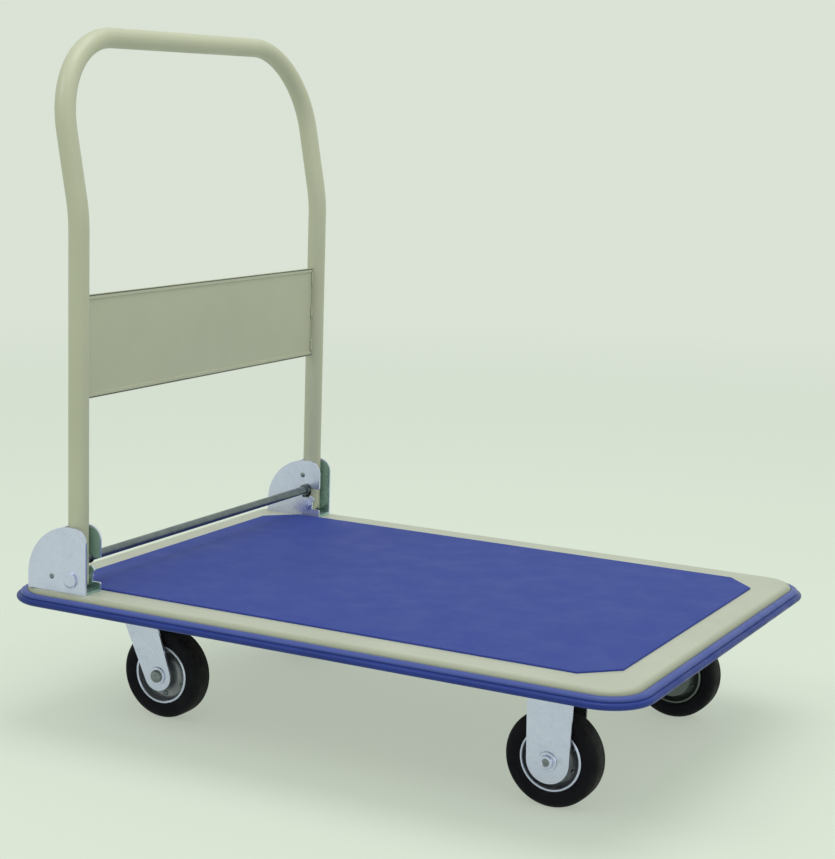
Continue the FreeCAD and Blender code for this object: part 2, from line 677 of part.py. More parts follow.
def make_bracket(name, side):
    """Base, two cheeks and a curved hood behind the tube, whose edge stops the upright handle."""
    body = new_body(name + "_handle_bracket")
    side_view = sketch_on(body, "XZ_Plane")
    back = "(pivot_x - bracket_radius)"
    crest = "(pivot_height + bracket_radius)"
    outline(side_view, [
        (back, "deck_top"), ("bracket_front", "deck_top"),
        ("bracket_front", "%s - bracket_corner" % crest, "bracket_corner", 1),
        ("bracket_front - bracket_corner", crest),
        ("pivot_x", crest, "bracket_radius", 1), (back, "pivot_height"),
    ])
    pad(body, side_view, "2 * " + BRACKET_HALF, symmetric=True)
    inside = sketch_on(body, "XZ_Plane")
    inner_radius = "(bracket_radius - bracket_sheet)"
    inner_back = "(pivot_x - %s)" % inner_radius
    clear_front = "bracket_front + cut_spare"
    clear_top = crest + " + cut_spare"
    floor = "(deck_top + bracket_base)"
    outline(inside, [
        (inner_back, floor), (clear_front, floor), (clear_front, clear_top), (HOOD_X, clear_top),
        (HOOD_X, on_pivot_circle(HOOD_X, inner_radius), inner_radius, 1), (inner_back, "pivot_height"),
    ])
    pocket(body, inside, "bracket_gap", symmetric=True)
    pivot = sketch_on(body, "XZ_Plane")
    circle(pivot, "pivot_x", "pivot_height", "pivot_bolt + 2 * running_gap")
    pocket(body, pivot, "2 * (%s + cut_spare)" % BRACKET_HALF, symmetric=True)
    inner_cheek = sided(side, "bracket_gap / 2 + bracket_sheet / 2")
    slot = sketch_on(body, "XZ_Plane", inner_cheek)
    lock_slot_outline(slot)
    slotted = pocket(body, slot, "bracket_sheet + cut_spare", symmetric=True)
    dress(body, "Fillet", slotted, is_slot_tip, "slot_tip_radius")
    holes = sketch_on(body, "XY_Plane", floor)
    for x in ("screw_back_x", "screw_front_x"):
        circle(holes, x, "0", "screw_hole")
    drilled = pocket(body, holes, "bracket_base + cut_spare")
    dress(body, "Chamfer", drilled, lambda e: is_hole_rim(e, size(floor)), "screw_head - screw_hole")
    place(body, "0", sided(side, "handle_half"))


def is_hole_rim(edge, height):
    round_edge = isinstance(edge.Curve, Part.Circle)
    return round_edge and level(edge, height) and abs(edge.Curve.Radius - size("screw_hole")) < 0.01


SLOT_HALF = "(lock_radius + slot_gap)"
SLOT_INSIDE = "(lock_raised - %s)" % SLOT_HALF
SLOT_MEET = "sqrt(%s^2 - %s^2)" % (SLOT_INSIDE, SLOT_HALF)


def is_slot_tip(edge):
    """One of the four corners of the cheek that the slot leaves standing out."""
    front = "(bracket_front - pivot_x)"
    corners = [
        (front, "slot_mouth"), (front, "-" + SLOT_HALF),
        (SLOT_HALF, SLOT_MEET), (SLOT_MEET, SLOT_HALF),
    ]
    if abs(edge.Length - size("bracket_sheet")) > 0.01:
        return False
    spot = edge.CenterOfMass
    for forward, up in corners:
        x, z = size("pivot_x + " + forward), size("pivot_height + " + up)
        if abs(spot.x - x) < 0.01 and abs(spot.z - z) < 0.01:
            return True
    return False


def lock_slot_outline(sketch):
    """An arc slot about the pivot, with a notch towards it when upright and an open one when folded."""
    half = SLOT_HALF
    outside = "(lock_raised + %s)" % half
    notch = "(lock_raised - lock_drop - %s)" % half
    lip = "sqrt(%s^2 - slot_mouth^2)" % outside

    def at(forward, up):
        return "pivot_x + %s" % forward, "pivot_height + %s" % up

    outline(sketch, [
        at("-" + half, notch), at(half, notch), at(half, SLOT_MEET) + (SLOT_INSIDE, -1),
        at(SLOT_MEET, half), at(notch, half), at(notch, "-" + half), at(outside, "-" + half),
        at(outside, "slot_mouth"), at(lip, "slot_mouth") + (outside, 1), at("0", outside),
        at("-" + half, outside),
    ])


SCREW_NECK = "(deck_top + bracket_base + countersink_gap - screw_head + screw_radius)"


def make_bracket_fasteners():
    """Countersunk screws, flush with the bracket's base, and their nuts under the deck."""
    screws = []
    nuts = []
    for x, y in screw_places():
        head = document.addObject("Part::Cone", "Head")
        bind(head, "Radius1", "screw_radius")
        bind(head, "Radius2", "screw_head - 2 * countersink_gap")
        bind(head, "Height", "screw_head - 2 * countersink_gap - screw_radius")
        place(head, x, y, SCREW_NECK)
        shank = cylinder("screw_radius", SCREW_NECK + " - screw_end")
        place(shank, x, y, "screw_end")
        screws.append(fuse(head, shank))
        fastener = nut("screw_nut_radius", "screw_radius", "screw_nut_height")
        place_both(fastener, x, y, "%s - screw_nut_height" % DECK_UNDERSIDE)
        nuts.append(fastener)
    group("bracket_screws", screws)
    group("bracket_nuts", nuts)


def make_pivot_fasteners():
    """The bolts that the handle turns on: dome head outside, thin nut inside."""
    bolts = []
    nuts = []
    for _, side in SIDES:
        head = cylinder("pivot_head", "pivot_head_thick", "y")
        outer_face = "handle_half + %s" % BRACKET_HALF
        head_y = outer_face if side > 0 else "%s + pivot_head_thick" % outer_face
        place(head, "pivot_x", sided(side, head_y), "pivot_height")
        shank = cylinder("pivot_bolt", "2 * %s + pivot_spare" % BRACKET_HALF, "y")
        inner_end = "handle_half - %s - pivot_spare" % BRACKET_HALF
        shank_y = inner_end if side > 0 else outer_face
        place(shank, "pivot_x", sided(side, shank_y), "pivot_height")
        bolts.append(fuse(head, shank))
        fastener = nut("pivot_nut", "pivot_bolt", "pivot_nut_height", "y")
        nut_y = "handle_half - %s - %s" % (BRACKET_HALF, "pivot_nut_height" if side > 0 else "0")
        place_both(fastener, "pivot_x", sided(side, nut_y), "pivot_height")
        nuts.append(fastener)
    group("pivot_bolts", bolts)
    group("pivot_nuts", nuts)


# ---- handle ----

def handle_path():
    """The tube's centre line: up, a slight bend back, round the two top corners and down again."""
    lean = math.radians(size("lean"))
    bend = size("bend_radius")
    corner = size("corner_radius")
    x, side = size("pivot_x"), size("handle_half")
    bottom, start = size("pivot_height - tube_radius"), size("bend_start")
    leaned_x = x - bend * (1 - math.cos(lean))
    leaned_z = start + bend * math.sin(lean)
    upward = FreeCAD.Vector(-math.sin(lean), 0, math.cos(lean))
    rise = (size("handle_top") - leaned_z) / math.cos(lean)
    half_corner = corner * (1 - math.sqrt(0.5))

    def one_side(sign):
        foot = FreeCAD.Vector(x, sign * side, bottom)
        bend_foot = FreeCAD.Vector(x, sign * side, start)
        half_lean = FreeCAD.Vector(x - bend * (1 - math.cos(lean / 2)), sign * side,
                                   start + bend * math.sin(lean / 2))
        bend_head = FreeCAD.Vector(leaned_x, sign * side, leaned_z)
        corner_foot = bend_head + upward * (rise - corner)
        corner_middle = bend_head + upward * (rise - half_corner)
        corner_middle.y = sign * (side - half_corner)
        corner_head = bend_head + upward * rise
        corner_head.y = sign * (side - corner)
        return foot, bend_foot, half_lean, bend_head, corner_foot, corner_middle, corner_head

    first = one_side(-1)
    last = one_side(1)
    edges = [
        Part.LineSegment(first[0], first[1]), Part.Arc(*first[1:4]),
        Part.LineSegment(first[3], first[4]), Part.Arc(*first[4:7]),
        Part.LineSegment(first[6], last[6]), Part.Arc(last[6], last[5], last[4]),
        Part.LineSegment(last[4], last[3]), Part.Arc(last[3], last[2], last[1]),
        Part.LineSegment(last[1], last[0]),
    ]
    return Part.Wire([edge.toShape() for edge in edges])


def swept_round(path, radius):
    """A solid round bar along the handle's centre line."""
    section = document.addObject("Part::Circle", "Section")
    bind(section, "Radius", radius)
    place(section, "pivot_x", "-handle_half", "pivot_height - tube_radius")
    sweep = document.addObject("Part::Sweep", "Sweep")
    sweep.Sections = [section]
    sweep.Spine = (path, ["Edge%d" % (index + 1) for index in range(len(path.Shape.Edges))])
    sweep.Solid = True
    sweep.Frenet = False
    return sweep


def cross_drill(radius, height):
    """A cylinder across the whole cart, as a drill through both tubes."""
    drill = cylinder(radius, "2 * handle_half + 4 * tube_radius", "y")
    place(drill, "pivot_x", "-handle_half - 2 * tube_radius", height)
    return drill


def make_handle_tube():
    """The bent tube with rounded feet, pivot holes, lock-rod slots and holes for the spring pins."""
    path = document.addObject("Part::Feature", "HandlePath")
    path.Shape = handle_path()
    wall = document.addObject("Part::Cut", "Wall")
    wall.Base = swept_round(path, "tube_radius")
    wall.Tool = swept_round(path, "tube_radius - tube_wall")
    foot_block = document.addObject("Part::Box", "FootBlock")
    bind(foot_block, "Length", "4 * tube_radius")
    bind(foot_block, "Width", "2 * handle_half + 4 * tube_radius")
    bind(foot_block, "Height", "2 * tube_radius")
    place(foot_block, "pivot_x - 2 * tube_radius", "-handle_half - 2 * tube_radius",
          "pivot_height - 2 * tube_radius")
    waste = document.addObject("Part::Cut", "FootWaste")
    waste.Base = foot_block
    waste.Tool = cross_drill("tube_radius", "pivot_height")
    slot_half = "(lock_radius + slot_gap)"
    slot_block = document.addObject("Part::Box", "SlotBlock")
    bind(slot_block, "Length", "2 * " + slot_half)
    bind(slot_block, "Width", "2 * handle_half + 4 * tube_radius")
    bind(slot_block, "Height", "lock_drop")
    place(slot_block, "pivot_x - " + slot_half, "-handle_half - 2 * tube_radius",
          "pivot_height + lock_raised - lock_drop")
    cuts = fuse(waste, cross_drill("bush_radius", "pivot_height"), slot_block,
                cross_drill(slot_half, "pivot_height + lock_raised"),
                cross_drill(slot_half, "pivot_height + lock_raised - lock_drop"),
                cross_drill("spring_pin_radius", "spring_pin_height"))
    tube = document.addObject("Part::Cut", "HandleTube")
    tube.Base = wall
    tube.Tool = cuts
    piece(tube, "handle_tube")


def make_handle_panel():
    """A sheet welded between the tubes, with its top and bottom edges hemmed for stiffness."""
    body = new_body("handle_panel")
    section = sketch_on(body, "XZ_Plane")
    half = "(panel_sheet / 2)"
    fold = "(1.5 * panel_sheet)"
    outline(section, [
        ("-" + half, "panel_bottom"), (fold, "panel_bottom"), (fold, "panel_bottom + panel_hem"),
        (half, "panel_bottom + panel_hem"), (half, "panel_top - panel_hem"),
        (fold, "panel_top - panel_hem"), (fold, "panel_top"), ("-" + half, "panel_top"),
    ])
    pad(body, section, "2 * (handle_half - tube_radius - panel_gap)", symmetric=True)
    place(body, "pivot_x")


def make_handle_fittings():
    """The bushes that turn on the pivot bolts and the pins that hold the springs' upper ends."""
    bushes = []
    pins = []
    for _, side in SIDES:
        foot = "%s - tube_radius" % sided(side, "handle_half")
        bush = ring("bush_radius", "pivot_bolt + running_gap", "2 * tube_radius", "y")
        place_both(bush, "pivot_x", foot, "pivot_height")
        bushes.append(bush)
        pin = cylinder("spring_pin_radius", "2 * tube_radius", "y")
        place(pin, "pivot_x", foot, "spring_pin_height")
        pins.append(pin)
    group("pivot_bushes", bushes)
    group("spring_pins", pins)


# ---- lock ----

ROD_HEIGHT = "(pivot_height + lock_raised)"


def make_lock_rod():
    """The long rod that locks both tubes: pulled up to release, pushed down by two springs."""
    body = new_body("lock_rod")
    section = sketch_on(body, "XZ_Plane")
    circle(section, "pivot_x", ROD_HEIGHT, "lock_radius")
    solid = pad(body, section, "2 * lock_half", symmetric=True)
    dress(body, "Chamfer", solid, lambda e: isinstance(e.Curve, Part.Circle), "lock_bevel")


def make_rod_clips():
    clips = []
    for start in ("clip_y - clip_thick", "-clip_y"):
        clip = ring("clip_radius", "lock_radius + clip_gap", "clip_thick", "y")
        place_both(clip, "pivot_x", start, ROD_HEIGHT)
        clips.append(clip)
    group("rod_clips", clips)


def make_lock_spring(name, side):
    """A compression spring inside the tube, between the rod and the pin above it."""
    bottom = "(%s + lock_radius + spring_wire + spring_gap)" % ROD_HEIGHT
    top = "(spring_pin_height - spring_pin_radius - spring_wire - spring_gap)"
    helix = document.addObject("Part::Helix", "Helix")
    bind(helix, "Radius", "spring_radius")
    bind(helix, "Height", "%s - %s" % (top, bottom))
    bind(helix, "Pitch", "(%s - %s) / spring_turns" % (top, bottom))
    place(helix, "pivot_x", sided(side, "handle_half"), bottom)
    wire = document.addObject("Part::Circle", "WireSection")
    bind(wire, "Radius", "spring_wire")
    turn(wire, (1, 0, 0), 90)
    place(wire, "pivot_x + spring_radius", sided(side, "handle_half"), bottom)
    document.recompute()
    spring = document.addObject("Part::Sweep", "Spring")
    spring.Sections = [wire]
    spring.Spine = (helix, ["Edge%d" % (index + 1) for index in range(len(helix.Shape.Edges))])
    spring.Solid = True
    spring.Frenet = True
    piece(spring, name + "_lock_spring")


# ---- the cart ----

def make_cart():
    make_deck_plate()
    make_deck_mat()
    make_edge_bumper()
    make_cross_member("front_cross_member", "fixed_x", "fixed_y")
    make_cross_member("rear_cross_member", "swivel_x", "swivel_y")
    make_caster_bolts("front", "fixed_x", "fixed_y")
    make_caster_bolts("rear", "swivel_x", "swivel_y")
    for name, side in SIDES:
        make_stiffener(name, side)
        make_fixed_fork(name, side)
        make_wheel("front_" + name, "fixed_x", sided(side, "fixed_y"))
        make_axle("front_" + name, side, "fixed_x", sided(side, "fixed_y"))
        make_swivel_plate(name, side)
        make_swivel_fork(name, side)
        make_kingpin(name, side)
        make_ball_ring(name, side)
        make_wheel("rear_" + name, "swivel_x + trail", sided(side, "swivel_y"))
        make_axle("rear_" + name, side, "swivel_x + trail", sided(side, "swivel_y"))
        make_bracket(name, side)
        make_lock_spring(name, side)
    make_bracket_fasteners()
    make_pivot_fasteners()
    make_handle_tube()
    make_handle_panel()
    make_handle_fittings()
    make_lock_rod()
    make_rod_clips()


def check_document():
    for thing in document.Objects:
        if "Invalid" in thing.State or "Error" in thing.State:
            raise ValueError("%s (%s) failed: %s" % (thing.Name, thing.Label, thing.State))
    for thing in PIECES:
        if thing.Shape.isNull() or not thing.Shape.isValid() or not thing.Shape.Solids:
            raise ValueError("%s has no valid solid" % thing.Label)


make_cart()
document.recompute()
check_document()
os.makedirs("parts", exist_ok=True)
for thing in PIECES:
    thing.Shape.exportStep(os.path.join("parts", thing.Label + ".step"))
    print("%-28s %2d solids %10.0f mm3" % (thing.Label, len(thing.Shape.Solids), thing.Shape.Volume))
whole = Part.makeCompound([thing.Shape for thing in PIECES])
print("pieces:", len(PIECES), "size:", whole.BoundBox)
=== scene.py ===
# %% [markdown]
# # A folding platform cart
# The cart is drawn in metal and rubber pieces that already exist as a measured model. This lesson
# loads them as a fixed frame, gives every piece a real finish, and adds what a workshop would add
# last: moulded tyres, a soft edge profile, weld beads, rivets and washers. Nothing is moved.

# %% load the frame
import json
import math

import bpy
import bmesh
from mathutils import Matrix, Vector


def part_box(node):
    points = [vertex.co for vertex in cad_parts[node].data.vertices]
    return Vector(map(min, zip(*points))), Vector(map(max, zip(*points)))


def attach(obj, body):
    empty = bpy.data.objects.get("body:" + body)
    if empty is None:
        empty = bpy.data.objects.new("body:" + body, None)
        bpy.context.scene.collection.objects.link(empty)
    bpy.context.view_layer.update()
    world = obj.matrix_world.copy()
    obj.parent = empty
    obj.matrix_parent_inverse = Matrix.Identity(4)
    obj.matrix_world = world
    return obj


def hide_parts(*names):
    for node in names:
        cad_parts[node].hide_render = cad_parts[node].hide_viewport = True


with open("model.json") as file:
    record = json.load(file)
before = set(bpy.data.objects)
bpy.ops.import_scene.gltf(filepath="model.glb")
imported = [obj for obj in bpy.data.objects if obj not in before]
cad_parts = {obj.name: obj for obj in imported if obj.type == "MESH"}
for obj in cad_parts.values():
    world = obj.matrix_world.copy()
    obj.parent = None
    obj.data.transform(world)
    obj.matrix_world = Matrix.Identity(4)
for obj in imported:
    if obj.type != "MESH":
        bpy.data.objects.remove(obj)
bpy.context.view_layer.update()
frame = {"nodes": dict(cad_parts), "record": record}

MM = 0.001
SIDES = (("right", -1), ("left", 1))
WHEELS = ("front_right", "front_left", "rear_right", "rear_left")
nodes = frame["nodes"]

# %% [markdown]
# ## Where things are
# Most places below are read off the frame: the middle of a piece, its half size, or one of its faces.
# A weld placed this way stays right if the frame is built again with other sizes; camera and lamps are
# fixed.

# %% reading places off the frame
def middle(node):
    low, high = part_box(node)
    return (Vector(low) + Vector(high)) / 2


def half_size(node):
    low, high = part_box(node)
    return (Vector(high) - Vector(low)) / 2


deck_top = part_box("deck_plate")[1][2]
metal_half = half_size("deck_plate")
print("deck top at", round(deck_top, 4), "m, metal half size", [round(v, 4) for v in metal_half])

# %% [markdown]
# ## Camera
# A cart like this shows best from a little above its deck and well to one side, with a long lens so
# that the deck does not look stretched. The eye stands about two metres away. Yaw turns it towards
# the handle, pitch tips it down, and a small roll leans the frame by less than two degrees.

# %% camera
EYE = Vector((0.9766, -1.8754, 0.6877))
YAW, PITCH, ROLL = (math.radians(angle) for angle in (-27.677, -9.632, 1.754))
LENS_MM = 81.49
SENSOR_MM = 36.0


def camera_axes(yaw, pitch, roll):
    """Right, up and back directions of a camera turned by yaw, pitch and roll."""
    ahead = Vector((math.sin(yaw) * math.cos(pitch), math.cos(yaw) * math.cos(pitch), math.sin(pitch)))
    level_right = Vector((math.cos(yaw), -math.sin(yaw), 0))
    level_up = level_right.cross(ahead)
    right = level_right * math.cos(roll) + level_up * math.sin(roll)
    up = level_up * math.cos(roll) - level_right * math.sin(roll)
    return right, up, -ahead


camera_data = bpy.data.cameras.new("camera")
camera_data.lens = LENS_MM
camera_data.sensor_width = SENSOR_MM
camera_data.clip_start, camera_data.clip_end = 0.05, 60
camera = bpy.data.objects.new("camera", camera_data)
bpy.context.scene.collection.objects.link(camera)
turn = Matrix(camera_axes(YAW, PITCH, ROLL)).transposed().to_4x4()
camera.matrix_world = Matrix.Translation(EYE) @ turn
bpy.context.scene.camera = camera
print("camera at", [round(v, 3) for v in EYE], "lens", LENS_MM, "mm")

# %% [markdown]
# ## Building blocks for finishes
# A finish is a small network of nodes. Most of them need the same few things: a noise, a ramp that
# turns the noise into a range, a mix of two colours, and a bump. Short helpers keep each finish
# readable. The pattern always comes from object coordinates, in metres, so that one millimetre in
# the pattern is one millimetre on the piece and nothing slides when a piece moves.

# %% node helpers
EDGE_SAMPLES = 4
COSINE_ON_FLAT, COSINE_ON_EDGE = 0.995, 0.90
NOISE_LOW, NOISE_HIGH = 0.3, 0.7


class Finish:
    """A material under construction: its tree, its shader and its coordinates."""

    def __init__(self, name, metallic=0.0, roughness=0.5, specular=0.5):
        self.material = bpy.data.materials.new(name)
        self.material.use_nodes = True
        self.tree = self.material.node_tree
        self.shader = self.tree.nodes["Principled BSDF"]
        self.shader.inputs["Metallic"].default_value = metallic
        self.shader.inputs["Roughness"].default_value = roughness
        self.shader.inputs["Specular IOR Level"].default_value = specular
        self.place = self.add("ShaderNodeTexCoord").outputs["Object"]

    def add(self, kind, **settings):
        node = self.tree.nodes.new(kind)
        for key, value in settings.items():
            setattr(node, key, value)
        return node

    def link(self, source, target):
        self.tree.links.new(source, target)

    def stretched(self, scale):
        """The coordinates, squeezed or stretched along each axis."""
        mapping = self.add("ShaderNodeMapping")
        mapping.inputs["Scale"].default_value = scale
        self.link(self.place, mapping.inputs["Vector"])
        return mapping.outputs["Vector"]

    def along(self, axis):
        """One of the three coordinates."""
        parts = self.add("ShaderNodeSeparateXYZ")
        self.link(self.place, parts.inputs["Vector"])
        return parts.outputs[axis]

    def noise(self, per_metre, detail=3.0, rough=0.55, place=None):
        node = self.add("ShaderNodeTexNoise")
        node.inputs["Scale"].default_value = per_metre
        node.inputs["Detail"].default_value = detail
        node.inputs["Roughness"].default_value = rough
        self.link(place or self.place, node.inputs["Vector"])
        return node.outputs["Fac"]

    def cells(self, per_metre):
        """The distance to the nearest of many scattered points: 0 at each and growing around it."""
        node = self.add("ShaderNodeTexVoronoi")
        node.inputs["Scale"].default_value = per_metre
        self.link(self.place, node.inputs["Vector"])
        return node.outputs["Distance"]

    def spread(self, value, low, high, to_low=0.0, to_high=1.0):
        """Maps low..high onto to_low..to_high and clips the rest."""
        node = self.add("ShaderNodeMapRange")
        ends = {"From Min": low, "From Max": high, "To Min": to_low, "To Max": to_high}
        for name, number in ends.items():
            node.inputs[name].default_value = number
        self.link(value, node.inputs["Value"])
        return node.outputs["Result"]

    def product(self, first, second):
        """first times second, which is a socket or a plain number."""
        node = self.add("ShaderNodeMath", operation="MULTIPLY")
        self.link(first, node.inputs[0])
        if isinstance(second, float):
            node.inputs[1].default_value = second
        else:
            self.link(second, node.inputs[1])
        return node.outputs["Value"]

    def length_after(self, *steps):
        """The length of the coordinates after some steps: each an operation and its second vector."""
        way = self.place
        for operation, other in steps:
            step = self.add("ShaderNodeVectorMath", operation=operation)
            self.link(way, step.inputs[0])
            if other is not None:
                step.inputs[1].default_value = other
            way = step.outputs["Vector"]
        reach = self.add("ShaderNodeVectorMath", operation="LENGTH")
        self.link(way, reach.inputs[0])
        return reach.outputs["Value"]

    def blend(self, mask, first, second):
        """first where the mask is 0, second where it is 1; each is a colour or a socket."""
        node = self.add("ShaderNodeMix", data_type="RGBA")
        self.link(mask, node.inputs[0])
        for socket, colour in ((node.inputs[6], first), (node.inputs[7], second)):
            if isinstance(colour, tuple):
                socket.default_value = (*colour, 1)
            else:
                self.link(colour, socket)
        return node.outputs[2]

    def edges(self, radius):
        """1 along outer and inner edges of the mesh, 0 on its flats."""
        bevel = self.add("ShaderNodeBevel", samples=EDGE_SAMPLES)
        bevel.inputs["Radius"].default_value = radius
        flat = self.add("ShaderNodeNewGeometry").outputs["Normal"]
        dot = self.add("ShaderNodeVectorMath", operation="DOT_PRODUCT")
        self.link(bevel.outputs["Normal"], dot.inputs[0])
        self.link(flat, dot.inputs[1])
        return self.spread(dot.outputs["Value"], COSINE_ON_FLAT, COSINE_ON_EDGE)

    def colour(self, socket):
        self.link(socket, self.shader.inputs["Base Color"])

    def uneven_gloss(self, per_metre, detail, smooth, dull):
        """Lets the roughness wander between two values."""
        wander = self.spread(self.noise(per_metre, detail), NOISE_LOW, NOISE_HIGH, smooth, dull)
        self.link(wander, self.shader.inputs["Roughness"])

    def bump(self, height, distance, strength, under=None):
        """Relief of the given depth; under is a finer bump that it rides on."""
        node = self.add("ShaderNodeBump")
        node.inputs["Distance"].default_value = distance
        node.inputs["Strength"].default_value = strength
        self.link(height, node.inputs["Height"])
        if under is not None:
            self.link(under, node.inputs["Normal"])
        self.link(node.outputs["Normal"], self.shader.inputs["Normal"])
        return node.outputs["Normal"]


print("finish helpers ready")

# %% [markdown]
# ## Powder coat
# The deck and the handle are sprayed with powder and baked. The coat melts into a skin with a very
# fine orange peel, and it is slightly uneven in tone. Edges rub first: the coat thins there and the
# primer shows darker. Grime collects as broad faint clouds, and short fine scratches run along the
# deck. One function makes every coat, because only the tint and the amount of wear differ. The deck's
# own coat also gets a band of painted shade in the crease along the bumper, where its edge curls down.

# %% powder coat
CREAM = (0.435, 0.445, 0.378)
CREAM_DULL = (0.40, 0.41, 0.348)
HANDLE_BEIGE = (0.46, 0.465, 0.35)
HANDLE_DULL = (0.44, 0.445, 0.335)
PRIMER = (0.20, 0.19, 0.16)
# painted shade: a darker olive for the crease where the deck's edge curls down to the bumper
CREASE_SHADE = (0.27, 0.285, 0.20)
CREASE_WIDTH = 7 * MM
CREASE_STRENGTH = 0.85
CORNER_RADIUS = 38 * MM
RUBBED_WIDTH = 1.2 * MM


def near_deck_edge(coat):
    """0 on the deck, rising at its rounded outline, where the bumper's lip starts."""
    straight = (metal_half.x - CORNER_RADIUS, metal_half.y - CORNER_RADIUS, 1.0)
    reach = coat.length_after(("ABSOLUTE", None), ("SUBTRACT", straight), ("MAXIMUM", (0, 0, 0)))
    return coat.spread(reach, CORNER_RADIUS - CREASE_WIDTH, CORNER_RADIUS, 0.0, CREASE_STRENGTH)


def powder_coat(name, fresh, dull, wear, shaded_crease=False):
    coat = Finish(name, roughness=0.42)
    clouds = coat.spread(coat.noise(9, detail=4), 0.35, 0.68)
    tone = coat.blend(clouds, fresh, dull)
    scratch_noise = coat.noise(60, detail=6, rough=0.75, place=coat.stretched((1.2, 9, 9)))
    scratches = coat.spread(scratch_noise, 0.66, 0.74, 0.0, 0.35)
    tone = coat.blend(scratches, tone, dull)
    patches = coat.spread(coat.noise(140, detail=5), 0.50, 0.62)
    chips = coat.product(coat.product(coat.edges(RUBBED_WIDTH), patches), wear)
    tone = coat.blend(chips, tone, PRIMER)
    # painted shade in the crease along the bumper
    if shaded_crease:
        tone = coat.blend(near_deck_edge(coat), tone, CREASE_SHADE)
    coat.colour(tone)
    coat.uneven_gloss(24, 5, smooth=0.34, dull=0.52)
    coat.bump(coat.noise(700, detail=2), 0.06 * MM, 0.6)
    return coat.material


cream_coat = powder_coat("cream_powder_coat", CREAM, CREAM_DULL, wear=0.55)
deck_coat = powder_coat("deck_powder_coat", CREAM, CREAM_DULL, wear=0.4, shaded_crease=True)
handle_coat = powder_coat("handle_powder_coat", HANDLE_BEIGE, HANDLE_DULL, wear=0.35)
print("powder coats:", cream_coat.name, deck_coat.name, handle_coat.name)

# %% [markdown]
# ## Blue mat
# The mat is sheet vinyl with a pebble grain rolled into it, so that boxes do not slide. As a mesh the
# grain would take millions of faces, so it is a bump: cells of two and a half millimetres make the
# pebbles and a finer noise roughens each one. Use polishes the tops and leaves pale scuffs, and the
# valleys between the pebbles are a deeper blue: painted shade.

# %% blue mat vinyl
MAT_BLUE = (0.0345, 0.0565, 0.280)
MAT_DEEP = (0.0325, 0.0535, 0.270)
MAT_SCUFF = (0.046, 0.068, 0.295)
PEBBLES_PER_METRE = 400


def mat_vinyl():
    vinyl = Finish("blue_mat_vinyl", roughness=0.6, specular=0.13)
    pebbles = vinyl.cells(PEBBLES_PER_METRE)
    clouds = vinyl.spread(vinyl.noise(7, detail=5), 0.36, 0.66)
    tone = vinyl.blend(clouds, MAT_BLUE, MAT_DEEP)
    drag = vinyl.noise(18, detail=7, rough=0.7, place=vinyl.stretched((1, 5, 5)))
    tone = vinyl.blend(vinyl.spread(drag, 0.62, 0.76, 0.0, 0.2), tone, MAT_SCUFF)
    # painted shade: a deeper blue in the valleys between the pebbles
    valley_shade = vinyl.spread(pebbles, 0.35, 0.75, 0.0, 0.45)
    vinyl.colour(vinyl.blend(valley_shade, tone, MAT_DEEP))
    vinyl.uneven_gloss(30, 5, smooth=0.54, dull=0.68)
    grain = vinyl.bump(vinyl.noise(2200, detail=2), 0.05 * MM, 0.5)
    vinyl.bump(vinyl.product(pebbles, -1.0), 0.35 * MM, 0.8, under=grain)
    return vinyl.material


mat_finish = mat_vinyl()
print("mat finish:", mat_finish.name)

# %% [markdown]
# ## Blue edge plastic
# The bumper is an extruded soft plastic. Extruding leaves faint lines along its length and a waxy
# gloss. Knocks leave dull and slightly paler spots on its nose. The upper lip, bent tight over the
# metal, carries a painted highlight: a paler blue where light grazes it. The lip could be a piece of its
# own, but it is the same plastic, so only its colour changes, by height.

# %% blue edge plastic
EDGE_BLUE = (0.020, 0.039, 0.235)
EDGE_DARK = (0.015, 0.030, 0.175)
EDGE_RUB = (0.038, 0.060, 0.26)
# painted highlight: the paler blue of the bumper's upper lip
LIP_HIGHLIGHT = (0.058, 0.083, 0.31)
LIP_FROM, LIP_FULL = 145.9 * MM, 146.6 * MM


def edge_plastic():
    plastic = Finish("blue_edge_plastic", roughness=0.3, specular=0.17)
    tone = plastic.blend(plastic.spread(plastic.noise(11, detail=4), 0.35, 0.7), EDGE_BLUE, EDGE_DARK)
    knocks = plastic.spread(plastic.noise(75, detail=6, rough=0.7), 0.62, 0.74, 0.0, 0.6)
    tone = plastic.blend(knocks, tone, EDGE_RUB)
    # painted highlight: the upper lip turns paler by height
    plastic.colour(plastic.blend(plastic.spread(plastic.along("Z"), LIP_FROM, LIP_FULL), tone, LIP_HIGHLIGHT))
    plastic.uneven_gloss(40, 4, smooth=0.24, dull=0.5)
    lines = plastic.noise(900, detail=1, place=plastic.stretched((0.02, 0.02, 1)))
    plastic.bump(lines, 0.05 * MM, 0.5)
    return plastic.material


edge_finish = edge_plastic()
print("edge finish:", edge_finish.name)

# %% [markdown]
# ## Zinc plating
# Brackets, forks and fasteners are pressed from steel and zinc plated: a cool, slightly blue metal.
# The plating is cloudy rather than mirror bright, the rolled sheet shows faint grain, and small
# stains and a little bare edge come with use. One recipe takes the tints, so that it also serves the
# wheel rims, painted darker as shade deep in the wheel, and the rod and the bare steel of axles and
# bearings, darker and rougher.

# %% zinc and steel
ZINC = (0.66, 0.69, 0.88)
ZINC_CLOUD = (0.61, 0.64, 0.82)
# painted shade: the rim dish is darker because it lies deep inside the tyre
RIM_SHADED_ZINC = (0.30, 0.31, 0.345)
RIM_SHADED_CLOUD = (0.18, 0.19, 0.215)
STEEL = (0.56, 0.56, 0.55)
STEEL_CLOUD = (0.40, 0.40, 0.39)
ROD = (0.20, 0.23, 0.25)
ROD_CLOUD = (0.13, 0.155, 0.17)
DARK_BOLT = (0.27, 0.30, 0.33)
DARK_BOLT_CLOUD = (0.17, 0.19, 0.21)
STAIN = (0.30, 0.29, 0.26)
BARE_EDGE = 0.8 * MM
PLATED_METALLIC = 0.85


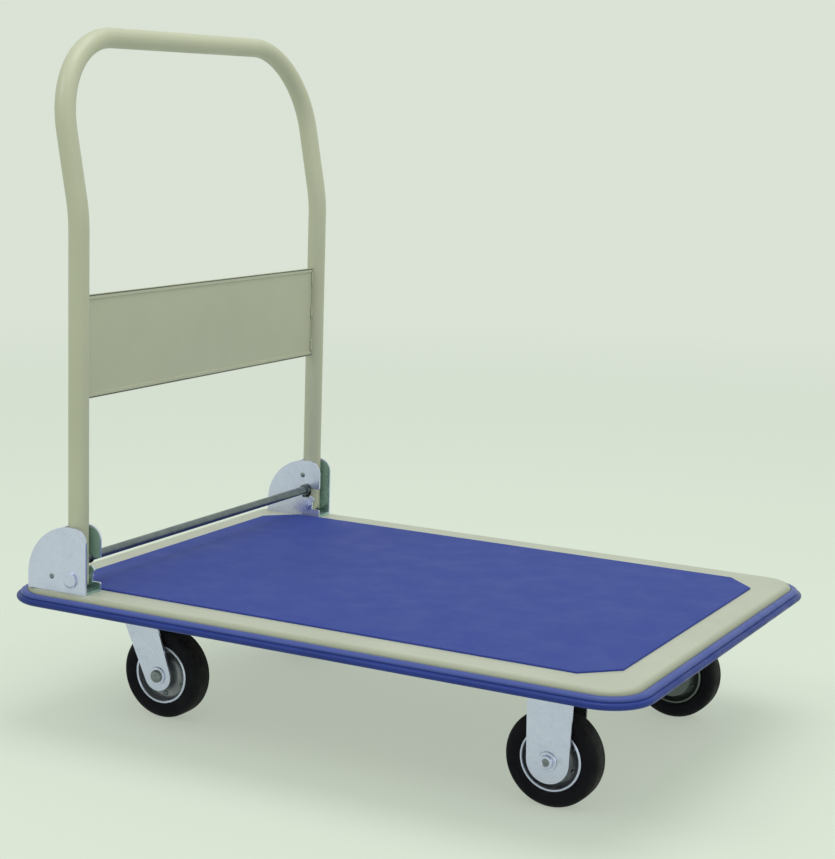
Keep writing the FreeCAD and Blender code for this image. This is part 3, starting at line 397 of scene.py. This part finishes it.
def plated(name, bright, cloudy, smooth, dull, shade_tint=None, shade_place=()):
    """The last two give the tint of painted shade and where it goes, as the mask of the next step takes
    them.
    """
    metal = Finish(name, metallic=PLATED_METALLIC, roughness=dull)
    spangle = metal.spread(metal.noise(55, detail=5, rough=0.65), 0.35, 0.68)
    tone = metal.blend(spangle, bright, cloudy)
    stains = metal.spread(metal.noise(90, detail=4, rough=0.6), 0.60, 0.80, 0.0, 0.25)
    tone = metal.blend(stains, tone, STAIN)
    tone = metal.blend(metal.edges(BARE_EDGE), tone, bright)
    # painted shade, where a tint for it is given
    if shade_tint:
        tone = metal.blend(painted_shade_mask(metal, *shade_place), tone, shade_tint)
    metal.colour(tone)
    metal.uneven_gloss(90, 5, smooth, dull)
    rolled = metal.noise(350, detail=2, place=metal.stretched((1, 1, 0.08)))
    metal.bump(rolled, 0.04 * MM, 0.25)
    return metal.material


zinc = plated("zinc_plate", ZINC, ZINC_CLOUD, 0.22, 0.36)
steel = plated("bare_steel", STEEL, STEEL_CLOUD, 0.22, 0.40)
rod_steel = plated("rod_steel", ROD, ROD_CLOUD, 0.28, 0.45)
bolt_steel = plated("dark_bolt_steel", DARK_BOLT, DARK_BOLT_CLOUD, 0.30, 0.46)
print("metals:", zinc.name, steel.name, rod_steel.name, bolt_steel.name)

# %% [markdown]
# ## Painted shade where no light reaches
# The inside of a handle bracket and the inner half of each wheel and fork, under the deck, lie in shade,
# and that shade is painted into their zinc. Painting single faces would leave hard steps, so both are
# the same zinc with a dark band in it, set by the distance from the cart's middle plane, and the sides
# match. The bracket's back wall is a round hood about the pivot, and only its inner face gets the
# painted shade.

# %% where the painted shade is
SHADE_FADE = 0.2 * MM
pivot = middle("pivot_bolts")


# painted shade mask: inside the brackets, and on the inner halves of the wheels and forks
def painted_shade_mask(metal, start, end, hood_radius):
    """1 between two distances from the middle plane, but 0 on the outside of a hood about the pivot.

    Below the pivot the hood's wall is upright, so only the distance along X counts there."""
    aside = metal.add("ShaderNodeMath", operation="ABSOLUTE")
    metal.link(metal.along("Y"), aside.inputs[0])
    past_start = metal.spread(aside.outputs["Value"], start, start + SHADE_FADE)
    before_end = metal.spread(aside.outputs["Value"], end - SHADE_FADE, end, 1.0, 0.0)
    from_pivot = metal.length_after(
        ("SUBTRACT", (pivot.x, 0, pivot.z)), ("MULTIPLY", (1, 0, 1)), ("MAXIMUM", (-1, 0, 0)))
    inside = metal.spread(from_pivot, hood_radius - SHADE_FADE, hood_radius, 1.0, 0.0)
    return metal.product(metal.product(past_start, before_end), inside)


print("pivot at", [round(v, 4) for v in pivot])

# %% zinc with painted shade
# painted shade: a darker green-grey inside the brackets, and near black on the inner halves of wheels
# and forks
BRACKET_SHADE = (0.42, 0.60, 0.58)
UNDER_DECK_SHADE = (0.14, 0.16, 0.16)
BRACKET_SHEET = 2.5 * MM
NO_HOOD = 9.0  # metres: wider than the cart, so nothing is left out

inner_skin = BRACKET_SHEET - 2 * SHADE_FADE
bracket_low, bracket_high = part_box("left_handle_bracket")
hood_radius = pivot.x - bracket_low[0] - inner_skin
between_cheeks = (bracket_low[1] + inner_skin, bracket_high[1] - inner_skin, hood_radius)
bracket_zinc = plated("bracket_zinc", ZINC, ZINC_CLOUD, 0.22, 0.36, BRACKET_SHADE, between_cheeks)
fork_finish, rim_finish = {}, {}
for wheel in WHEELS:
    # painted shade on the inner half of each wheel and fork, under the deck
    inner_half = (0.0, abs(middle(wheel + "_tyre").y) - SHADE_FADE, NO_HOOD)
    inner_half_shade = (UNDER_DECK_SHADE, inner_half)
    fork_finish[wheel] = plated(wheel + "_fork_zinc", ZINC, ZINC_CLOUD, 0.22, 0.36, *inner_half_shade)
    rim_finish[wheel] = plated(wheel + "_rim_zinc", RIM_SHADED_ZINC, RIM_SHADED_CLOUD, 0.30, 0.48, *inner_half_shade)
print("greased:", bracket_zinc.name, [finish.name for finish in fork_finish.values()])

# %% [markdown]
# ## Tyre rubber
# Solid moulded rubber is nearly black, with a dull skin from the mould. The tread picks up grey floor
# dust, so dust grows with the distance from the axle. Object coordinates are measured from the
# cart's origin, so one rubber for all four tyres would not know their axles, and each tyre gets its own.

# %% tyre rubber
RUBBER = (0.0042, 0.0036, 0.0070)
RUBBER_DUST = (0.022, 0.021, 0.020)
DUST_STARTS, DUST_FULL = 44 * MM, 50.5 * MM


def tyre_rubber(name, axle):
    rubber = Finish(name, roughness=0.62, specular=0.13)
    from_axle = rubber.length_after(("SUBTRACT", axle), ("MULTIPLY", (1, 0, 1)))
    dusty = rubber.spread(from_axle, DUST_STARTS, DUST_FULL, 0.0, 0.8)
    patchy = rubber.spread(rubber.noise(95, detail=6, rough=0.7), 0.40, 0.68)
    rubber.colour(rubber.blend(rubber.product(dusty, patchy), RUBBER, RUBBER_DUST))
    rubber.uneven_gloss(60, 4, smooth=0.50, dull=0.78)
    rubber.bump(rubber.noise(1300, detail=3), 0.08 * MM, 0.6)
    return rubber.material


print("tyre rubber recipe ready")

# %% [markdown]
# ## Finishes on the frame's own pieces
# Most pieces of the frame keep their own shape and only need their finish. The record names a slot
# for each piece, so a piece takes the finish of its slot, and a few have a finish of their own.
# Pressed sheet has slightly rounded edges, and a sharp edge never catches light. Rounding the mesh by
# hand would change the frame, so modifiers do it: one joins the split points of the mesh, one merges
# its flats, and a narrow bevel rounds every corner.

# %% paint the frame
FINISHES = {
    "cream_paint": cream_coat, "handle_paint": handle_coat, "mat_vinyl": mat_finish,
    "bumper_vinyl": edge_finish, "zinc": zinc, "bare_steel": steel, "dark_rod": rod_steel,
}
OWN_FINISH = {
    "deck_plate": deck_coat, "right_handle_bracket": bracket_zinc, "left_handle_bracket": bracket_zinc,
}
OWN_FINISH.update({wheel + "_fork": fork_finish[wheel] for wheel in WHEELS})
slot_of = {part["node"]: part["material_slot"] for part in frame["record"]["subparts"]}

dressed = 0
for name, thing in nodes.items():
    finish = OWN_FINISH.get(name) or FINISHES.get(slot_of[name])
    if finish:
        thing.data.materials.clear()
        thing.data.materials.append(finish)
        dressed += 1
print("dressed", dressed, "frame pieces; the other", len(nodes) - dressed, "are drawn anew below")

# %% soften pressed edges
BEVEL_WIDTHS_MM = {
    "handle_panel": 0.25, "right_handle_bracket": 0.5, "left_handle_bracket": 0.5,
    "front_right_fork": 0.5, "front_left_fork": 0.5, "rear_right_fork": 0.5, "rear_left_fork": 0.5,
    "rear_right_top_plate": 0.5, "rear_left_top_plate": 0.5, "front_cross_member": 0.6,
    "rear_cross_member": 0.6, "right_stiffener": 0.5, "left_stiffener": 0.5,
    "front_caster_bolts": 0.4, "rear_caster_bolts": 0.4,
}
SAME_POINT = 0.005 * MM
SAME_FLAT = math.radians(0.5)
SHARP_ENOUGH = math.radians(40)


def soften(thing, width):
    """Join the mesh's split points, merge its flats and round its sharp edges by the width."""
    joined = thing.modifiers.new("join_points", "WELD")
    joined.merge_threshold = SAME_POINT
    merged = thing.modifiers.new("merge_flats", "DECIMATE")
    merged.decimate_type = "DISSOLVE"
    merged.angle_limit = SAME_FLAT
    rounded = thing.modifiers.new("rounded_edges", "BEVEL")
    rounded.width = width
    rounded.segments = 2
    rounded.limit_method = "ANGLE"
    rounded.angle_limit = SHARP_ENOUGH
    evened = thing.modifiers.new("even_shading", "WEIGHTED_NORMAL")
    evened.keep_sharp = True


for name, width in BEVEL_WIDTHS_MM.items():
    soften(nodes[name], width * MM)
print("softened", len(BEVEL_WIDTHS_MM), "pressed pieces")

# %% [markdown]
# ## Turned shapes
# Tyres, rims, washers, rivets and even weld beads are round about a line. Stock cylinders and spheres
# could be stacked for them, but a real turned part has rounded shoulders and steps. A lathe shape
# needs only half a section: a list of (along, radius) points. The helper turns it about X, Y or Z and
# closes the ends, where the radius is zero, to a single point.

# %% lathe helper
AXES = {
    "x": (Vector((1, 0, 0)), Vector((0, 1, 0)), Vector((0, 0, 1))),
    "y": (Vector((0, 1, 0)), Vector((0, 0, 1)), Vector((1, 0, 0))),
    "z": (Vector((0, 0, 1)), Vector((1, 0, 0)), Vector((0, 1, 0))),
}
ON_THE_LINE = 1e-7


def grid_faces(mesh, rings, closed_section):
    """Quads between neighbouring rings of points; a ring of one point makes triangles."""
    count = len(rings)
    for index in range(count if closed_section else count - 1):
        low, high = rings[index], rings[(index + 1) % count]
        steps = max(len(low), len(high))
        for step in range(steps):
            after = (step + 1) % steps
            corners = [low[step % len(low)], low[after % len(low)],
                       high[after % len(high)], high[step % len(high)]]
            corners = [c for place, c in enumerate(corners) if c not in corners[:place]]
            if len(corners) > 2:
                mesh.faces.new(corners)


def lathe(mesh, section, centre, axis, segments, ring_shaped=False):
    """Adds a turned solid to the mesh; a ring shape has a closed section and a hole through it."""
    along_way, first, second = AXES[axis]
    rings = []
    for along, radius in section:
        spot = Vector(centre) + along_way * along
        if radius < ON_THE_LINE:
            rings.append([mesh.verts.new(spot)])
            continue
        angles = [2 * math.pi * step / segments for step in range(segments)]
        rings.append([mesh.verts.new(spot + (first * math.cos(a) + second * math.sin(a)) * radius)
                      for a in angles])
    grid_faces(mesh, rings, ring_shaped)


print("the lathe turns about", list(AXES))

# %% from a mesh to a piece
def finished(name, mesh, finish, body, smooth=35):
    """Makes a finished mesh into a piece that rides on a body; smooth is in degrees."""
    bmesh.ops.recalc_face_normals(mesh, faces=mesh.faces)
    data = bpy.data.meshes.new(name)
    mesh.to_mesh(data)
    mesh.free()
    data.materials.append(finish)
    thing = bpy.data.objects.new(name, data)
    bpy.context.scene.collection.objects.link(thing)
    data.shade_smooth()
    data.set_sharp_from_angle(angle=math.radians(smooth))
    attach(thing, body)
    return thing


# %% [markdown]
# ## Moulded tyres
# The real tyre is one solid ring of rubber, cured in a two-part mould. The mould leaves a thin parting
# line round the middle of the tread, a step where the rubber meets the rim and a shallow groove on
# each side. A bump would not show at the outline, so the measured ring is replaced by one turned from
# a section that has all three.

# %% tyres
TYRE_RADIUS = half_size("front_right_tyre").z
TYRE_HALF = half_size("front_right_tyre").y
SIDEWALL = [
    (10.6, 33.15), (11.6, 33.2), (12.4, 33.9), (12.7, 35.2), (13.3, 36.0), (13.75, 37.2),
    (13.35, 37.9), (13.35, 38.6), (13.85, 39.3), (14.0, 41.0), (13.9, 43.2),
]
SHOULDER_WIDTH = 6.4 * MM
SHOULDER_HEIGHT = 6.6 * MM
SHOULDER_SINK = 0.2 * MM
SHOULDER_FROM, SHOULDER_TO = math.radians(8), math.radians(82)
SHOULDER_STEPS = 7
TREAD_SINKS = [(4.0, 0.08), (0.45, 0.04), (0.25, 0.0)]
TYRE_SEGMENTS = 112


def tyre_half_section():
    """From the seat outward and over the shoulder to the parting line, as (along, radius)."""
    points = [(along * MM, radius * MM) for along, radius in SIDEWALL]
    for step in range(SHOULDER_STEPS + 1):
        angle = SHOULDER_FROM + (SHOULDER_TO - SHOULDER_FROM) * step / SHOULDER_STEPS
        points.append((TYRE_HALF - SHOULDER_WIDTH * (1 - math.cos(angle)),
                       TYRE_RADIUS - SHOULDER_SINK - SHOULDER_HEIGHT * (1 - math.sin(angle))))
    return points + [(along * MM, TYRE_RADIUS - sink * MM) for along, sink in TREAD_SINKS]


def make_tyre(wheel):
    axle = middle(wheel + "_tyre")
    half = tyre_half_section()
    section = half + [(-along, radius) for along, radius in reversed(half)]
    mesh = bmesh.new()
    lathe(mesh, section, axle, "y", TYRE_SEGMENTS, ring_shaped=True)
    rubber = tyre_rubber(wheel + "_rubber", axle)
    tyre = finished(wheel + "_moulded_tyre", mesh, rubber, wheel + "_wheel", smooth=50)
    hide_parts(wheel + "_tyre")
    return tyre


tyres = [make_tyre(wheel) for wheel in WHEELS]
print("tyres:", [t.name for t in tyres], "radius", round(TYRE_RADIUS, 4))

# %% [markdown]
# ## Pressed rims
# A cheap wheel has a rim of two pressed dishes riveted back to back on a hub tube. The lip that holds
# the tyre is rolled over, keeps its bright plating and catches the light as a thin ring, while the
# dish is duller and, deep inside the tyre, painted darker as shade. The dishes touch all round their
# web, so both are turned as one shape from one section, and six rivets on each side show that they are
# two.

# %% rims
RIM_RIVETS = 6
RIVET_CIRCLE = 24 * MM
RIVET_RADIUS, RIVET_HEIGHT = 2.6 * MM, 1.6 * MM
RIVET_ROOT = 0.3 * MM
DOME = [(0.0, 1.0), (0.35, 0.93), (0.7, 0.7), (0.93, 0.38), (1.0, 0.0)]
WEB_HALF = 2 * MM
LIP_STARTS = 30.2 * MM
RIM_SEGMENTS, RIVET_SEGMENTS = 96, 20
RIM_SECTION = [
    (-16.0, 11.05), (-16.0, 13.4), (-15.4, 14.0), (-9.0, 14.2), (-5.0, 15.2), (-3.0, 17.2),
    (-2.0, 20.0), (-2.0, 25.8), (-3.2, 28.0), (-6.0, 29.4), (-11.2, 30.1), (-12.6, 30.3),
    (-13.3, 31.0), (-13.4, 32.2), (-12.7, 33.0), (-11.4, 33.0), (-9.0, 32.95),
]


def rivet(mesh, centre, outward, radius, height):
    """A low dome that stands on a face, rooted a little below it, and looks along +Y or -Y."""
    dome = [(height * up, radius * out) for up, out in DOME]
    section = [(-RIVET_ROOT, 0.0), (-RIVET_ROOT, radius)] + dome
    lathe(mesh, [(outward * along, size) for along, size in section], centre, "y", RIVET_SEGMENTS)


def make_rim(wheel):
    axle = middle(wheel + "_tyre")
    left = [(along * MM, radius * MM) for along, radius in RIM_SECTION]
    section = left + [(-along, radius) for along, radius in reversed(left)]
    mesh = bmesh.new()
    lathe(mesh, section, axle, "y", RIM_SEGMENTS, ring_shaped=True)
    for step in range(RIM_RIVETS):
        angle = 2 * math.pi * (step + 0.5) / RIM_RIVETS
        spot = axle + Vector((math.cos(angle), 0, math.sin(angle))) * RIVET_CIRCLE
        for outward in (-1, 1):
            rivet(mesh, spot + Vector((0, outward * WEB_HALF, 0)), outward, RIVET_RADIUS, RIVET_HEIGHT)
    for face in mesh.faces:
        from_axle = face.calc_center_median() - axle
        if math.hypot(from_axle.x, from_axle.z) > LIP_STARTS:
            face.material_index = 1
    rim = finished(wheel + "_pressed_rim", mesh, rim_finish[wheel], wheel + "_wheel")
    rim.data.materials.append(fork_finish[wheel])
    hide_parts(wheel + "_rim")
    return rim


rims = [make_rim(wheel) for wheel in WHEELS]
print("rims:", len(rims), "with", RIM_RIVETS, "rivets a side")

# %% [markdown]
# ## Axle heads and washers
# Each axle bolt has a round head outside the fork, on a washer. The swivelling wheels have a dark
# domed head. The fixed wheels have a flat plated one with a dark drilled centre. The frame's bolt is
# sized to hold the wheel and has a plain head, so the bolt stays, and these shapes are turned around
# its head to give it a washer and a rounded face.

# %% axle heads
HEAD_THICK = 3.5 * MM
AXLE_WASHER = [(0.02, 7.1), (0.02, 9.6), (0.5, 10.2), (1.2, 10.2), (1.6, 9.8), (1.6, 7.1)]
AXLE_DOME = [
    (1.0, 0.0), (1.0, 7.15), (3.0, 7.05), (4.1, 6.2), (4.8, 4.6), (5.1, 2.6), (4.7, 2.0), (4.4, 0.0),
]
AXLE_CUP = [
    (1.0, 0.0), (1.0, 7.15), (3.4, 7.05), (4.3, 6.5), (4.5, 5.6), (4.4, 4.4), (3.8, 3.9), (3.8, 0.0),
]
AXLE_CENTRE = [(3.6, 0.0), (3.6, 3.8), (4.0, 3.7), (4.15, 2.6), (4.2, 0.0)]
WASHER_SEGMENTS, HEAD_SEGMENTS, CENTRE_SEGMENTS = 48, 40, 32


def outside_of(wheel):
    """-1 or +1: the way from the wheel to the cart's own side."""
    return -1 if wheel.endswith("right") else 1


def outward_section(points, outward):
    return [(outward * along * MM, radius * MM) for along, radius in points]


def make_axle_cap(wheel):
    outward = outside_of(wheel)
    low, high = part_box(wheel + "_axle_bolt")
    bolt = middle(wheel + "_axle_bolt")
    face = low[1] if outward < 0 else high[1]
    base = Vector((bolt.x, face - outward * HEAD_THICK, bolt.z))
    swivels = wheel.startswith("rear")
    body = wheel.split("_")[1] + "_swivel" if swivels else "deck"
    washer = bmesh.new()
    lathe(washer, outward_section(AXLE_WASHER, outward), base, "y", WASHER_SEGMENTS, ring_shaped=True)
    head = bmesh.new()
    shape = AXLE_DOME if swivels else AXLE_CUP
    lathe(head, outward_section(shape, outward), base, "y", HEAD_SEGMENTS)
    finish = bolt_steel if swivels else zinc
    pieces = [finished(wheel + "_axle_washer", washer, zinc, body),
              finished(wheel + "_axle_head", head, finish, body)]
    if not swivels:
        centre = bmesh.new()
        lathe(centre, outward_section(AXLE_CENTRE, outward), base, "y", CENTRE_SEGMENTS)
        pieces.append(finished(wheel + "_axle_centre", centre, bolt_steel, body))
    return pieces


axle_caps = [piece.name for wheel in WHEELS for piece in make_axle_cap(wheel)]
print("axle caps:", axle_caps)

# %% [markdown]
# ## Edge bumper
# The bumper is one extruded length bent round the deck. A curve with a bevel profile could make it,
# but its section has to hug the metal, so the section itself travels round the edge here. The upper
# lip lies against the painted edge, below it a groove, then the full nose, and under the deck it
# hooks round the skirt. Each point of the section keeps its distance outward from the metal, along a
# rounded rectangle with the deck's corner radius.

# %% bumper
CORNER_STEPS = 14
BUMPER_SECTION = [
    (0.15, 150.2), (1.6, 150.6), (3.6, 150.5), (5.6, 150.0), (7.0, 149.0), (7.7, 147.6),
    (7.5, 146.7), (7.2, 146.2), (7.7, 145.9), (9.2, 145.8), (10.8, 145.2), (11.7, 144.1), (12.0, 142.8),
    (11.8, 141.5), (11.0, 140.2), (9.6, 139.2), (7.8, 138.7), (5.0, 138.5), (2.2, 138.5),
    (1.6, 138.8), (1.0, 138.5), (-1.6, 138.5), (-3.4, 138.7), (-4.2, 139.4), (-4.2, 145.4),
    (-3.6, 146.0), (-2.1, 146.0), (-2.1, 139.9), (0.15, 139.9),
]


def edge_stations():
    """Points on the metal's rounded outline with their outward directions, in order."""
    inner_x, inner_y = metal_half.x - CORNER_RADIUS, metal_half.y - CORNER_RADIUS
    stations = []
    for quarter, (sign_x, sign_y) in enumerate(((1, 1), (-1, 1), (-1, -1), (1, -1))):
        for step in range(CORNER_STEPS + 1):
            angle = math.pi / 2 * (quarter + step / CORNER_STEPS)
            way = Vector((math.cos(angle), math.sin(angle), 0))
            stations.append((Vector((sign_x * inner_x, sign_y * inner_y, 0)) + way * CORNER_RADIUS, way))
    return stations


def make_bumper():
    mesh = bmesh.new()
    rings = []
    for spot, way in edge_stations():
        rings.append([mesh.verts.new(spot + way * out * MM + Vector((0, 0, up * MM)))
                      for out, up in BUMPER_SECTION])
    grid_faces(mesh, rings, closed_section=True)
    bumper = finished("edge_profile", mesh, edge_finish, "deck", smooth=50)
    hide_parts("edge_bumper")
    return bumper


bumper = make_bumper()
print("bumper:", len(bumper.data.polygons), "faces")

# %% [markdown]
# ## Weld beads
# The panel is welded between the uprights, and the channels are welded under the deck. A stitch weld
# is a row of overlapping pools. Sculpting each would be slow and a smooth rod would look like wire,
# so a stitch is a lathe shape whose radius swells and shrinks along its length and fades at both
# ends. It is painted with the part, so it takes the coat of its neighbours. The panel's rolled top
# and bottom edges also leave an open seam, and the shadow in it is painted as a dark line.

# %% the shape of a stitch weld
POOL = 1.9 * MM
FEWEST_RIPPLES = 6
POINTS_PER_RIPPLE = 4
RIPPLE_DEPTH = 0.18
TAPER_SHARE = 1 / 6


def bead_section(length, radius):
    """(along, radius) of a stitch: ripples, with tapered ends."""
    ripples = max(FEWEST_RIPPLES, int(length / POOL))
    points = [(-length / 2, 0.0)]
    for step in range(1, ripples * POINTS_PER_RIPPLE):
        share = step / (ripples * POINTS_PER_RIPPLE)
        taper = min(1.0, share / TAPER_SHARE, (1 - share) / TAPER_SHARE) ** 0.5
        ripple = 1 - RIPPLE_DEPTH + RIPPLE_DEPTH * abs(math.sin(math.pi * share * ripples))
        points.append((length * (share - 0.5), radius * taper * ripple))
    return points + [(length / 2, 0.0)]


print("a 17 mm stitch has", len(bead_section(17 * MM, 1.5 * MM)), "points")

# %% panel welds
PANEL_STITCHES = (0.12, 0.5, 0.88)
PANEL_BEAD = bead_section(17 * MM, 1.5 * MM)
SHEET_FACE = 0.9 * MM
INTO_TUBE = 0.9985
BEAD_SEGMENTS = 10


def make_panel_welds():
    """Three short stitches up each side of the panel, on both of its faces."""
    low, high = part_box("handle_panel")
    sheet = middle("handle_panel").x
    mesh = bmesh.new()
    for side_y in (low[1], high[1]):
        for share in PANEL_STITCHES:
            for face in (-1, 1):
                height = low[2] + share * (high[2] - low[2])
                spot = Vector((sheet + face * SHEET_FACE, side_y * INTO_TUBE, height))
                lathe(mesh, PANEL_BEAD, spot, "z", BEAD_SEGMENTS)
    return finished("panel_welds", mesh, handle_coat, "handle", smooth=60)


panel_welds = make_panel_welds()
print("panel welds:", len(panel_welds.data.polygons), "faces")

# %% channel welds
CHANNEL_STITCHES = 6
CROSS_BEAD = bead_section(26 * MM, 2.0 * MM)
STIFFENER_BEAD = bead_section(20 * MM, 1.8 * MM)
BELOW_DECK = 0.8 * MM


def stitches(low, high):
    """Places spread evenly from low to high."""
    return [low + (step + 0.5) * (high - low) / CHANNEL_STITCHES for step in range(CHANNEL_STITCHES)]


def make_channel_welds():
    mesh = bmesh.new()
    for name in ("front_cross_member", "rear_cross_member"):
        low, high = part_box(name)
        for edge_x in (low[0], high[0]):
            for along_y in stitches(low[1], high[1]):
                spot = Vector((edge_x, along_y, high[2] - BELOW_DECK))
                lathe(mesh, CROSS_BEAD, spot, "y", BEAD_SEGMENTS)
    for name in ("right_stiffener", "left_stiffener"):
        low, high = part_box(name)
        for edge_y in (low[1], high[1]):
            for along_x in stitches(low[0], high[0]):
                spot = Vector((along_x, edge_y, high[2] - BELOW_DECK))
                lathe(mesh, STIFFENER_BEAD, spot, "x", BEAD_SEGMENTS)
    return finished("channel_welds", mesh, cream_coat, "deck", smooth=60)


channel_welds = make_channel_welds()
print("channel welds:", len(channel_welds.data.polygons), "faces")

# %% painted shadow in the hem seams
SEAM_INSET = 1.1 * MM
SEAM_RADIUS = 0.7 * MM
SEAM_SINK = 0.3 * MM
SEAM_SEGMENTS = 12
# painted shadow: the colour of the dark line in the open hem seams
SEAM_SHADOW = (0.10, 0.105, 0.08)
SEAM_DEEP_SHADOW = (0.07, 0.075, 0.06)
seam_coat = powder_coat("seam_shadow_coat", SEAM_SHADOW, SEAM_DEEP_SHADOW, wear=0.0)


def make_hem_seam_shadows():
    """Dark ropes along the rolled top and bottom edges of the panel: painted shadow in the open seams
    under the hems.
    """
    low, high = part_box("handle_panel")
    mesh = bmesh.new()
    half = (high[1] - low[1]) / 2
    rope = [(-half, 0.0), (-half + MM, SEAM_RADIUS), (half - MM, SEAM_RADIUS), (half, 0.0)]
    for height in (high[2] - SEAM_INSET, low[2] + SEAM_INSET):
        lathe(mesh, rope, Vector((high[0] - SEAM_SINK, 0, height)), "y", SEAM_SEGMENTS)
    return finished("panel_hem_seam_shadows", mesh, seam_coat, "handle")


hem_seam_shadows = make_hem_seam_shadows()
print("hem seams:", len(hem_seam_shadows.data.polygons), "faces")

# %% [markdown]
# ## Bracket details
# Each quarter-round bracket is pressed, and its outer cheek shows the head of the pivot bolt on a
# washer, with a rivet beside it. The inner cheek has one rivet near its top. Such small things could
# be painted on, but they catch light as they turn, so they are shapes: a low dome on a thin washer
# over each plain bolt head of the frame, and a dome for each rivet.

# %% bracket rivets and washers
PIVOT_WASHER = [(0.02, 8.1), (0.02, 8.7), (0.2, 9.0), (0.5, 9.0), (0.75, 8.7), (0.75, 8.1)]
PIVOT_DOME = [(1.0, 0.0), (1.0, 8.1), (2.25, 8.05), (2.65, 7.4), (2.9, 5.8), (3.0, 3.5), (3.0, 0.0)]
OUTER_RIVET, OUTER_RIVET_RADIUS = Vector((-25, 0, 1)) * MM, 3.0 * MM
INNER_RIVET, INNER_RIVET_RADIUS = Vector((-5, 0, 38)) * MM, 3.2 * MM
BRACKET_RIVET_HEIGHT = 1.4 * MM
PIVOT_HEAD_SEGMENTS = 44


def make_bracket_trim(name, outward):
    """outward is -1 or +1, the way that the bracket's outer cheek faces."""
    low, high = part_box(name + "_handle_bracket")
    outer_face = low[1] if outward < 0 else high[1]
    inner_face = high[1] if outward < 0 else low[1]
    outer_spot = Vector((pivot.x, outer_face, pivot.z))
    inner_spot = Vector((pivot.x, inner_face, pivot.z))
    trim = bmesh.new()
    washer = outward_section(PIVOT_WASHER, outward)
    lathe(trim, washer, outer_spot, "y", WASHER_SEGMENTS, ring_shaped=True)
    lathe(trim, outward_section(PIVOT_DOME, outward), outer_spot, "y", PIVOT_HEAD_SEGMENTS)
    rivets = bmesh.new()
    rivet(rivets, outer_spot + OUTER_RIVET, outward, OUTER_RIVET_RADIUS, BRACKET_RIVET_HEIGHT)
    rivet(rivets, inner_spot + INNER_RIVET, -outward, INNER_RIVET_RADIUS, BRACKET_RIVET_HEIGHT)
    return [finished(name + "_bracket_trim", trim, zinc, "deck"),
            finished(name + "_bracket_rivets", rivets, bolt_steel, "deck")]


bracket_trim = [piece.name for name, side in SIDES for piece in make_bracket_trim(name, side)]
print("bracket trim:", bracket_trim)

# %% [markdown]
# ## Floor, sky and lamps
# The cart stands on a plain pale floor without a horizon. A curved backdrop would stand in the way of
# the other views, so a wide disc does it: near the cart it is half a real surface that takes soft
# shadows and half a glow, and further out it only glows with the sky's own colour, so the two meet
# unseen. The light is a large soft key from the upper left, a weaker fill from the right and a broad
# lamp overhead.

# %% floor
SKY = (0.70, 0.765, 0.67)
SKY_LEVEL = 1.0
FLOOR = (0.665, 0.72, 0.63)
FLOOR_GLOW = 0.5
FLOOR_RADIUS = 25.0
FLOOR_SEGMENTS = 128
FLOOR_NEAR, FLOOR_FAR = 0.9, 4.0
UNDER_WHEELS = 0.2 * MM


def floor_finish():
    surface = Finish("pale_floor", roughness=0.75, specular=0.2)
    surface.shader.inputs["Base Color"].default_value = (*FLOOR, 1)
    further_out = surface.spread(surface.length_after(), FLOOR_NEAR, FLOOR_FAR, FLOOR_GLOW)
    glow = surface.add("ShaderNodeEmission")
    glow.inputs["Color"].default_value = (*SKY, 1)
    glow.inputs["Strength"].default_value = SKY_LEVEL
    mixed = surface.add("ShaderNodeMixShader")
    surface.link(further_out, mixed.inputs[0])
    surface.link(surface.shader.outputs["BSDF"], mixed.inputs[1])
    surface.link(glow.outputs["Emission"], mixed.inputs[2])
    surface.link(mixed.outputs["Shader"], surface.tree.nodes["Material Output"].inputs["Surface"])
    return surface.material


def make_floor():
    mesh = bmesh.new()
    bmesh.ops.create_circle(mesh, cap_ends=True, segments=FLOOR_SEGMENTS, radius=FLOOR_RADIUS)
    data = bpy.data.meshes.new("floor")
    mesh.to_mesh(data)
    mesh.free()
    data.materials.append(floor_finish())
    floor = bpy.data.objects.new("floor", data)
    floor.location.z = -UNDER_WHEELS
    bpy.context.scene.collection.objects.link(floor)
    return floor


floor = make_floor()
print("floor radius", FLOOR_RADIUS)

# %% sky and lamps
LAMPS_AIM = Vector((0, 0, 0.3))


def make_sky():
    world = bpy.data.worlds.new("soft_studio")
    world.use_nodes = True
    background = world.node_tree.nodes["Background"]
    background.inputs["Color"].default_value = (*SKY, 1)
    background.inputs["Strength"].default_value = SKY_LEVEL
    bpy.context.scene.world = world


def make_lamp(name, spot, size, watts):
    """A round soft lamp that looks at the middle of the cart; its size is its width in metres."""
    data = bpy.data.lights.new(name, "AREA")
    data.shape = "DISK"
    data.size = size
    data.energy = watts
    lamp = bpy.data.objects.new(name, data)
    bpy.context.scene.collection.objects.link(lamp)
    lamp.location = spot
    lamp.rotation_mode = "QUATERNION"
    lamp.rotation_quaternion = (LAMPS_AIM - Vector(spot)).to_track_quat("-Z", "Y")
    return lamp


make_sky()
lamps = [
    make_lamp("key", (-1.4, -2.2, 3.0), size=1.4, watts=19),
    make_lamp("fill", (2.8, -1.2, 1.2), size=2.0, watts=7),
    make_lamp("overhead", (0.3, 0.2, 3.0), size=2.2, watts=34),
]
bpy.context.scene.view_settings.view_transform = "Standard"
print("lamps:", [lamp.name for lamp in lamps])
